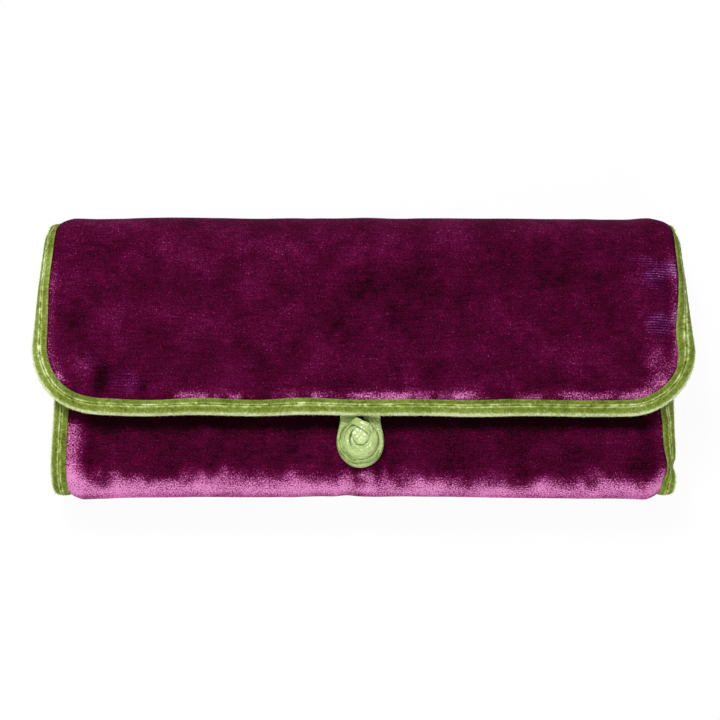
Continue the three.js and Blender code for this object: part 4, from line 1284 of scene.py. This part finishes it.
# the layers part most where the ribbon bunches
above = flatAbove
for gap, seed in zip(gaps, (53, 54)):
    parted = np.clip(0.35 + 0.5 * softNoise(alongLoop, alongLoop * 0, 4, seed) + 0.6 * bunch, 0, 1) * onEdge
    above = above - parted * gap
wave = 0.07 * onEdge * softNoise(alongLoop, alongLoop * 0, 2.6, 55)
across = across + wave * (1 - 4 * across ** 2)
crumple = 0.09 * softNoise(alongLoop + 0.6 * across * width, across * width * 0.4, 0.7, 51)
crumple = crumple + 0.14 * softNoise(alongLoop, across * width * 0.5, 2.4, 52)
slope = -0.25 * onEdge * (across + 0.5) - 0.4 * (across < foldPlace) * (1 - 0.6 * onEdge)
ends = smoothStep(alongLoop, 0, 1.5) * smoothStep(alongLoop[-1] - alongLoop, 0, 1.5)
lift = np.where(flatAbove > 0.85, crumple - loop["crease"] * fold + slope, 0) * ends
inward = 0.5 - across
loopX = buttonX + path[:, 0:1] * inward + path[:, 2:3] * (1 - inward)
loopY = buttonY + path[:, 1:2] * inward + path[:, 3:4] * (1 - inward)
loopZ = loop["low"] + above * height + lift
rings = np.stack([loopX, loopY, loopZ], -1)
loopParts = [tubePart(rings, joinAxes(alongLoop, across * width), crease=1.0)]
# right of the rosette the ribbon is turned over, so a narrow layer crosses the other
crossing = smoothLine(loop["crossing"], loop["crossRows"])
risen = smoothStep(1 - crossing[:, 1] / legLength, 0.1, 0.95)
crossZ = loop["low"] + loop["rootHeight"] + (loop["edgeHeight"] - loop["rootHeight"]) * risen + 0.12
# its far end is tucked in
crossZ = crossZ - loop["crossTuck"] * smoothStep(np.linspace(0, 1, loop["crossRows"]), 0.55, 1)
crossing = np.column_stack([crossing[:, 0] + buttonX, crossing[:, 1] + buttonY, crossZ])
loopParts.append(ribbonBand(crossing, loop["crossWidth"], math.radians(-14), 0.3, 0.05, 57, 14))
ribbonLoop = makePiece("ribbon_loop", loopParts, [greenSatin], 50)
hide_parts("closure_loop")
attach(ribbonLoop, "loop")
print("loop made")


def lozenge(low, high, seed, rows, columns, roundness, noise):
    # a flat cloth patch in a box: rounded edges, a slightly uneven top
    low, high = np.asarray(low, float), np.asarray(high, float)
    u = np.linspace(-1, 1, rows)[:, None]
    v = np.linspace(-1, 1, columns)[None, :]
    x = (low[0] + high[0]) / 2 + u * (high[0] - low[0]) / 2
    y = (low[1] + high[1]) / 2 + v * (high[1] - low[1]) / 2
    x, y = np.broadcast_arrays(x, y)
    fromEdge = np.minimum(np.minimum(x - low[0], high[0] - x), np.minimum(y - low[1], high[1] - y))
    full = smoothStep(fromEdge, -0.2, roundness)
    thick = high[2] - low[2]
    middle = (low[2] + high[2]) / 2
    half = thick / 2 * (0.35 + 0.65 * full) * (1 + noise * softNoise(x, y, 9, seed) * full - noise)
    above = np.stack([x, y, middle + half], -1)
    below = np.stack([x, y, middle - half], -1)
    return shellPart(above, below, x, y)


def stitches(starts, ends, radius):
    # a row of sewing stitches: small six-sided beads from start to end, thinner at both ends
    starts, ends = np.asarray(starts, float), np.asarray(ends, float)
    along = ends - starts
    up = np.array([0.0, 0.0, 1.0])
    sideways = np.cross(unitRows(along), up)
    turn = np.arange(6) * math.pi / 3
    ring = np.cos(turn)[None, :, None] * sideways[:, None, :] + np.sin(turn)[None, :, None] * up
    levels = [(0.08, 0.55), (0.5, 1.0), (0.92, 0.55)]
    rings = [starts[:, None, :] + t * along[:, None, :] + w * radius * ring for t, w in levels]
    points = np.concatenate([*rings, starts[:, None, :], ends[:, None, :]], axis=1)
    faces = np.arange(len(starts))[:, None, None] * points.shape[1] + tubeFaces(len(levels), len(turn))
    faces = faces.reshape(-1, 4)
    return {"points": points.reshape(-1, 3), "faces": faces, "slot": 1}


def stitchLine(first, last, spacing, length):
    # evenly spaced stitches on the straight line between two points
    first, last = np.asarray(first, float), np.asarray(last, float)
    reach = np.linalg.norm(last - first)
    unit = (last - first) / reach
    places = np.arange(0.5 * spacing, reach - length, spacing)[:, None]
    return first + places * unit, first + (places + length) * unit


def signedPower(value, power):
    # the power of the size with the sign kept, which squares off a circle
    return np.sign(value) * np.abs(value) ** power


# Zipped pockets: satin patch, woven tape, coil and a brass slider with a cut-out pull
zipLook = {
    "coilPitch": 1.35,
    "wire": 0.3,
    "seam": 1.5,            # mm from the patch's edge to its stitches
    "stitch": 2.6,
    "stitchLength": 1.7,
    "thread": 0.16,
    "patch": {"rows": 160, "columns": 40, "roundness": 1.2, "noise": 0.08},
    "tape": {"rows": 150, "columns": 24, "roundness": 0.6, "noise": 0.02},
    "sliderRows": 41,
    "sliderAround": 60,
    "sliderWaist": 0.16,    # share of the width drawn in
    "sliderCover": 0.75,
    "grooveHalf": 2.35,
    "pullWire": 0.62,
    "pullRows": 72,
    "pullAround": 14,
}


def sewnRuns(runs):
    # stitches along several straight lines
    ends = [stitchLine(first, last, zipLook["stitch"], zipLook["stitchLength"]) for first, last in runs]
    starts, stops = (np.concatenate([end[i] for end in ends]) for i in (0, 1))
    return stitches(starts, stops, zipLook["thread"])


for number, name in enumerate(("back", "front", "flap")):
    facing = 1 if name == "back" else -1      # the back's lining faces up, the other two down
    low, high = nodeBox(name + "_pocket")
    patch = lozenge(low, high, 70 + number, **zipLook["patch"])
    top = (high[2] if facing > 0 else low[2]) - 0.02 * facing
    left, near = low[:2] + zipLook["seam"]
    right, far = high[:2] - zipLook["seam"]
    corners = [(left, near, top), (right, near, top), (right, far, top), (left, far, top)]
    sewn = sewnRuns(zip(corners, corners[1:] + corners[:1]))
    pocket = makePiece(name + "_pocket_patch", [patch, sewn], [greenSatin, sewingThread], 60)
    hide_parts(name + "_pocket")
    size = (high - low) * milli
    under = ("lower_back" if name == "back" else name) + "_satin_lining"
    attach(pocket, name)

    low, high = nodeBox(name + "_zip_tape")
    tape = lozenge(low, high, 80 + number, **zipLook["tape"])
    top = (high[2] if facing > 0 else low[2]) - 0.02 * facing
    places = (low[1] + 1.6, low[1] + 3.2, high[1] - 1.6, high[1] - 3.2)
    sewn = sewnRuns([((low[0] + 1, y, top), (high[0] - 1, y, top)) for y in places])
    ribbonTape = makePiece(name + "_zip_ribbon", [tape, sewn], [zipTape, sewingThread], 60)
    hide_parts(name + "_zip_tape")
    size = (high - low) * milli
    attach(ribbonTape, name)

    # coil: two flattened helices of nylon wire, half a turn apart
    low, high = nodeBox(name + "_zip_teeth")
    midX, midY, midZ = (low + high) / 2
    turns = (high[0] - low[0] - 1.2) / zipLook["coilPitch"]
    t = np.linspace(0, 1, int(turns * 12))
    parts = []
    for half in (-1, 1):
        phase = t * turns * 2 * math.pi + (0 if half < 0 else math.pi)
        wide = (high[1] - low[1]) / 4 - zipLook["wire"] * 0.3
        tall = (high[2] - low[2]) / 2 - zipLook["wire"]
        coilX = low[0] + 0.6 + t * (high[0] - low[0] - 1.2)
        coilY = midY + half * wide * 0.62 + wide * np.cos(phase)
        coilZ = midZ + tall * np.sin(phase)
        line = np.stack([coilX, coilY, coilZ], -1)
        ahead = unitRows(np.gradient(line, axis=0))
        outward = np.stack([np.zeros_like(t), np.cos(phase), np.sin(phase)], -1)
        sideways = unitRows(np.cross(ahead, outward))
        outward = np.cross(sideways, ahead)
        spoke = (np.arange(6) * math.pi / 3)[None, :, None]
        around = np.cos(spoke) * outward[:, None, :] + np.sin(spoke) * sideways[:, None, :]
        ring = line[:, None, :] + zipLook["wire"] * around
        parts.append(tubePart(ring, ends=line[[0, -1]]))
    coil = makePiece(name + "_zip_coil", parts, [nylonCoil], 80)
    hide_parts(name + "_zip_teeth")
    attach(coil, name)

    # slider: a domed cover with two flanges and a bridge, its sides drawn in at the waist
    low, high = nodeBox(name + "_zip_slider")
    midX, midY, midZ = (low + high) / 2
    u = np.linspace(-1, 1, zipLook["sliderRows"])[:, None]
    q = np.linspace(0, 1, zipLook["sliderAround"], endpoint=False)[None, :]
    halfLength, halfWide = (high[0] - low[0]) / 2, (high[1] - low[1]) / 2
    rounded = np.sqrt(np.clip(1 - ((np.abs(u) - 0.9) / 0.11) ** 2, 0.02, 1))
    waist = (1 - zipLook["sliderWaist"] * (1 - u ** 2)) * np.where(np.abs(u) > 0.9, rounded, 1)
    tall = high[2] - low[2]
    grooveHalf, ceiling = zipLook["grooveHalf"], tall - zipLook["sliderCover"]
    cover = [halfWide, halfWide, halfWide * 0.86, grooveHalf]
    groove = [grooveHalf, grooveHalf, 0, -grooveHalf, -grooveHalf]
    outlineY = np.array([-y for y in cover] + [0] + cover[::-1] + groove)
    dome = [0, tall * 0.45, tall * 0.72, tall * 0.93]
    outlineZ = np.array(dome + [tall] + dome[::-1] + [0, ceiling, ceiling, ceiling, 0])
    pick = np.linspace(0, 1, len(outlineY) + 1)
    sectionY = np.interp(q, pick, np.append(outlineY, outlineY[0]))
    sectionZ = np.interp(q, pick, np.append(outlineZ, outlineZ[0]))
    # the groove for the coil keeps its width at the waist
    fromMiddle = np.maximum(np.abs(sectionY) * waist, np.minimum(np.abs(sectionY), grooveHalf))
    sliderY = midY + np.sign(sectionY) * fromMiddle
    sliderZ = low[2] + sectionZ if facing > 0 else high[2] - sectionZ
    rings = joinAxes(midX + halfLength * u, sliderY, sliderZ)
    slider = makePiece(name + "_slider", [tubePart(rings)], [brass], 35)
    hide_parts(name + "_zip_slider")
    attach(slider, name + "_slider")

    # pull: a flat brass frame, wider at its far end, with a slot cut through it
    low, high = nodeBox(name + "_zip_pull")
    pullRows, pullAround, wire = zipLook["pullRows"], zipLook["pullAround"], zipLook["pullWire"]
    turn = np.linspace(0, 2 * math.pi, pullRows, endpoint=False)[:, None]
    section = np.linspace(0, 2 * math.pi, pullAround, endpoint=False)[None, :]
    midX, midY, midZ = (low + high) / 2
    halfLength, halfWide, halfTall = (high - low) / 2
    roundX = signedPower(np.cos(turn), 0.6) * (halfLength - wire)
    roundY = signedPower(np.sin(turn), 0.75) * (halfWide - wire) * (0.86 + 0.14 * np.cos(turn))
    flatX = signedPower(np.cos(section), 0.6) * wire
    flatZ = signedPower(np.sin(section), 0.6) * halfTall
    frameX = midX + roundX + flatX * np.cos(turn)
    frameY = midY + roundY + flatX * np.sin(turn)
    ring = joinAxes(frameX, frameY, midZ + flatZ)
    rows = gridFaces(pullRows, pullAround, True)
    here = np.arange(pullAround)
    after = (here + 1) % pullAround
    lastRow = (pullRows - 1) * pullAround
    seam = np.stack([lastRow + here, lastRow + after, after, here], -1)
    pullFrame = {"points": ring.reshape(-1, 3), "faces": np.concatenate([rows, seam])}
    pull = makePiece(name + "_pull", [pullFrame], [brass], 50)
    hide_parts(name + "_zip_pull")
    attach(pull, name + "_pull")
    for side in ("left", "right"):
        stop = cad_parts[name + "_zip_stop_" + side]
        stop.data.materials.clear()
        stop.data.materials.append(brass)
print("pockets and zips made")

# Ring bar: a stuffed velvet tube, gathered at both ends
low, high = nodeBox("ring_bar")
bar = {"rings": 260, "around": 64, "pleats": 14, "taper": 9.0, "end": 2.2}
radius = (high[2] - low[2]) / 2
t = np.linspace(-1, 1, bar["rings"])[:, None]
turn = np.linspace(0, 2 * math.pi, bar["around"], endpoint=False)[None, :]
fromEnd = (1 - np.abs(t)) * (high[0] - low[0]) / 2
rise = np.sqrt(np.clip(1 - (1 - np.clip(fromEnd / bar["taper"], 0, 1)) ** 2, 0, 1))
size = bar["end"] + (radius - bar["end"]) * rise
gather = 0.28 * np.cos(bar["pleats"] * turn) * smoothStep(fromEnd, 12, 1) * smoothStep(fromEnd, 0, 1.5)
midX, midY, midZ = (low + high) / 2
barX = midX + t * (high[0] - low[0]) / 2
uneven = 0.22 * softNoise(barX, turn * 5, 12, 91) + 0.1 * softNoise(barX, turn * 5, 4, 92) - 0.3
barRadius = size + gather + uneven * smoothStep(fromEnd, 0, 8)
barY = midY + barRadius * np.cos(turn)
barZ = midZ + barRadius * np.sin(turn)
barEnds = [[end, barY.mean(), barZ.mean()] for end in (low[0], high[0])]
# painted sheen, paler towards the gathered ends, with noise
barPaintedSheen = 0.12 + 0.3 * smoothStep(fromEnd, 10, 0) + 0.15 * softNoise(barX, turn * 5, 18, 93)
barPaintedSheen = np.append(np.clip(barPaintedSheen, 0, 1).ravel(), [0.3, 0.3])
barShape = tubePart(joinAxes(barX, barY, barZ), joinAxes(barX, turn * radius), barEnds, nap=barPaintedSheen)
ringBar = makePiece("stuffed_ring_bar", [barShape], [plumVelvet], 80)
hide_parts("ring_bar")
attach(ringBar, "ring_bar")


strapGrid = {"rows": 40, "around": 24, "length": 18}


def strapAlong(points, width, thickness, material, name):
    # a ribbon carried along a smooth line in the X-Z plane, with round edges
    points = np.asarray(points, float)
    t = np.linspace(0, 1, strapGrid["rows"])
    knots = np.linspace(0, 1, len(points))
    line = np.stack([np.interp(t, knots, points[:, i]) for i in range(3)], -1)
    kernel = np.array([1, 2, 3, 2, 1]) / 9
    padded = np.concatenate([line[:1]] * 2 + [line] + [line[-1:]] * 2)
    line = np.stack([np.convolve(padded[:, i], kernel, "valid") for i in range(3)], -1)
    ahead = unitRows(np.gradient(line, axis=0))
    up = np.stack([-ahead[:, 2], np.zeros(len(line)), ahead[:, 0]], -1)
    turn = np.linspace(0, 2 * math.pi, strapGrid["around"], endpoint=False)
    across = signedPower(np.cos(turn), 0.4) * width / 2
    above = signedPower(np.sin(turn), 0.6) * thickness / 2
    rings = line[:, None, :] + above[None, :, None] * up[:, None, :]
    rings = rings + across[None, :, None] * np.array([0, 1.0, 0])
    strap = tubePart(rings, joinAxes(t[:, None] * strapGrid["length"], across[None, :]), line[[0, -1]])
    return makePiece(name, [strap], [material], 60)


low, high = nodeBox("ring_bar_anchor")
barMiddle = (low[1] + high[1]) / 2
anchorLine = [
    (low[0] + 0.3, barMiddle, low[2] + 0.45),
    (low[0] + 7, barMiddle, low[2] + 0.5),
    (high[0] - 4, barMiddle, low[2] + 3.2),
    (high[0] - 0.3, barMiddle, high[2] - 2.2),
]
anchor = strapAlong(anchorLine, high[1] - low[1] - 0.2, 0.8, greenSatin, "ring_bar_anchor_ribbon")
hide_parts("ring_bar_anchor")
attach(anchor, "back")
low, high = nodeBox("ring_bar_tab")
tabLine = [
    (low[0] + 0.2, barMiddle, high[2] - 1.2),
    (low[0] + 3.5, barMiddle, low[2] + 2.6),
    (low[0] + 8.2, barMiddle, low[2] + 0.45),
    (high[0] - 0.3, barMiddle, low[2] + 0.4),
]
tab = strapAlong(tabLine, high[1] - low[1] - 0.2, 0.75, greenSatin, "ring_bar_tab_ribbon")
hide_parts("ring_bar_tab")
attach(tab, "ring_bar")

# Snap: a cap with a rolled rim and a dimple, a stud with a ball; shares of the radius and the height
snaps = {
    "ring_bar_snap_cap": ("ring_bar", [
        (0, 0.72), (0.35, 0.74), (0.5, 0.82), (0.62, 0.95), (0.8, 1.0),
        (0.94, 0.86), (1.0, 0.5), (0.97, 0.15), (0.9, 0.0), (0, 0.0),
    ]),
    "ring_bar_snap_stud": ("back", [
        (0, 0.95), (0.3, 0.95), (0.4, 0.8), (0.42, 0.55), (0.62, 0.5),
        (0.86, 0.6), (0.97, 0.5), (1.0, 0.3), (0.95, 0.0), (0, 0.0),
    ]),
}
snapGrid = {"rows": 46, "around": 56}
for node, (body, profile) in snaps.items():
    low, high = nodeBox(node)
    profile = np.array(profile)
    fine = np.linspace(0, len(profile) - 1, snapGrid["rows"])
    outAlong, upAlong = (np.interp(fine, np.arange(len(profile)), profile[:, i])[:, None] for i in (0, 1))
    radius = np.maximum(outAlong * (high[0] - low[0]) / 2, 0.02)
    height = low[2] + upAlong * (high[2] - low[2])
    turn = np.linspace(0, 2 * math.pi, snapGrid["around"], endpoint=False)[None, :]
    midX, midY, midZ = (low + high) / 2
    rings = joinAxes(midX + radius * np.cos(turn), midY + radius * np.sin(turn), height)
    snap = makePiece(node + "_brass", [tubePart(rings)], [brass], 40)
    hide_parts(node)
    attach(snap, body)

# Sewn ends of the loop, flat under the flap
tailLook = {"rows": 24, "columns": 20, "roundness": 0.5, "noise": 0.02}
for side, sideways in (("left", -1), ("right", 1)):
    low, high = nodeBox("closure_loop_end_" + side)
    inOut = np.sort([sideways * loop["rootInner"], sideways * loop["rootOuter"]]) + buttonX
    low[0], high[0] = inOut
    tail = makePiece("loop_tail_" + side, [lozenge(low, high, 95, **tailLook)], [greenSatin], 60)
    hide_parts("closure_loop_end_" + side)
    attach(tail, "flap")
print("ring bar and small pieces made")
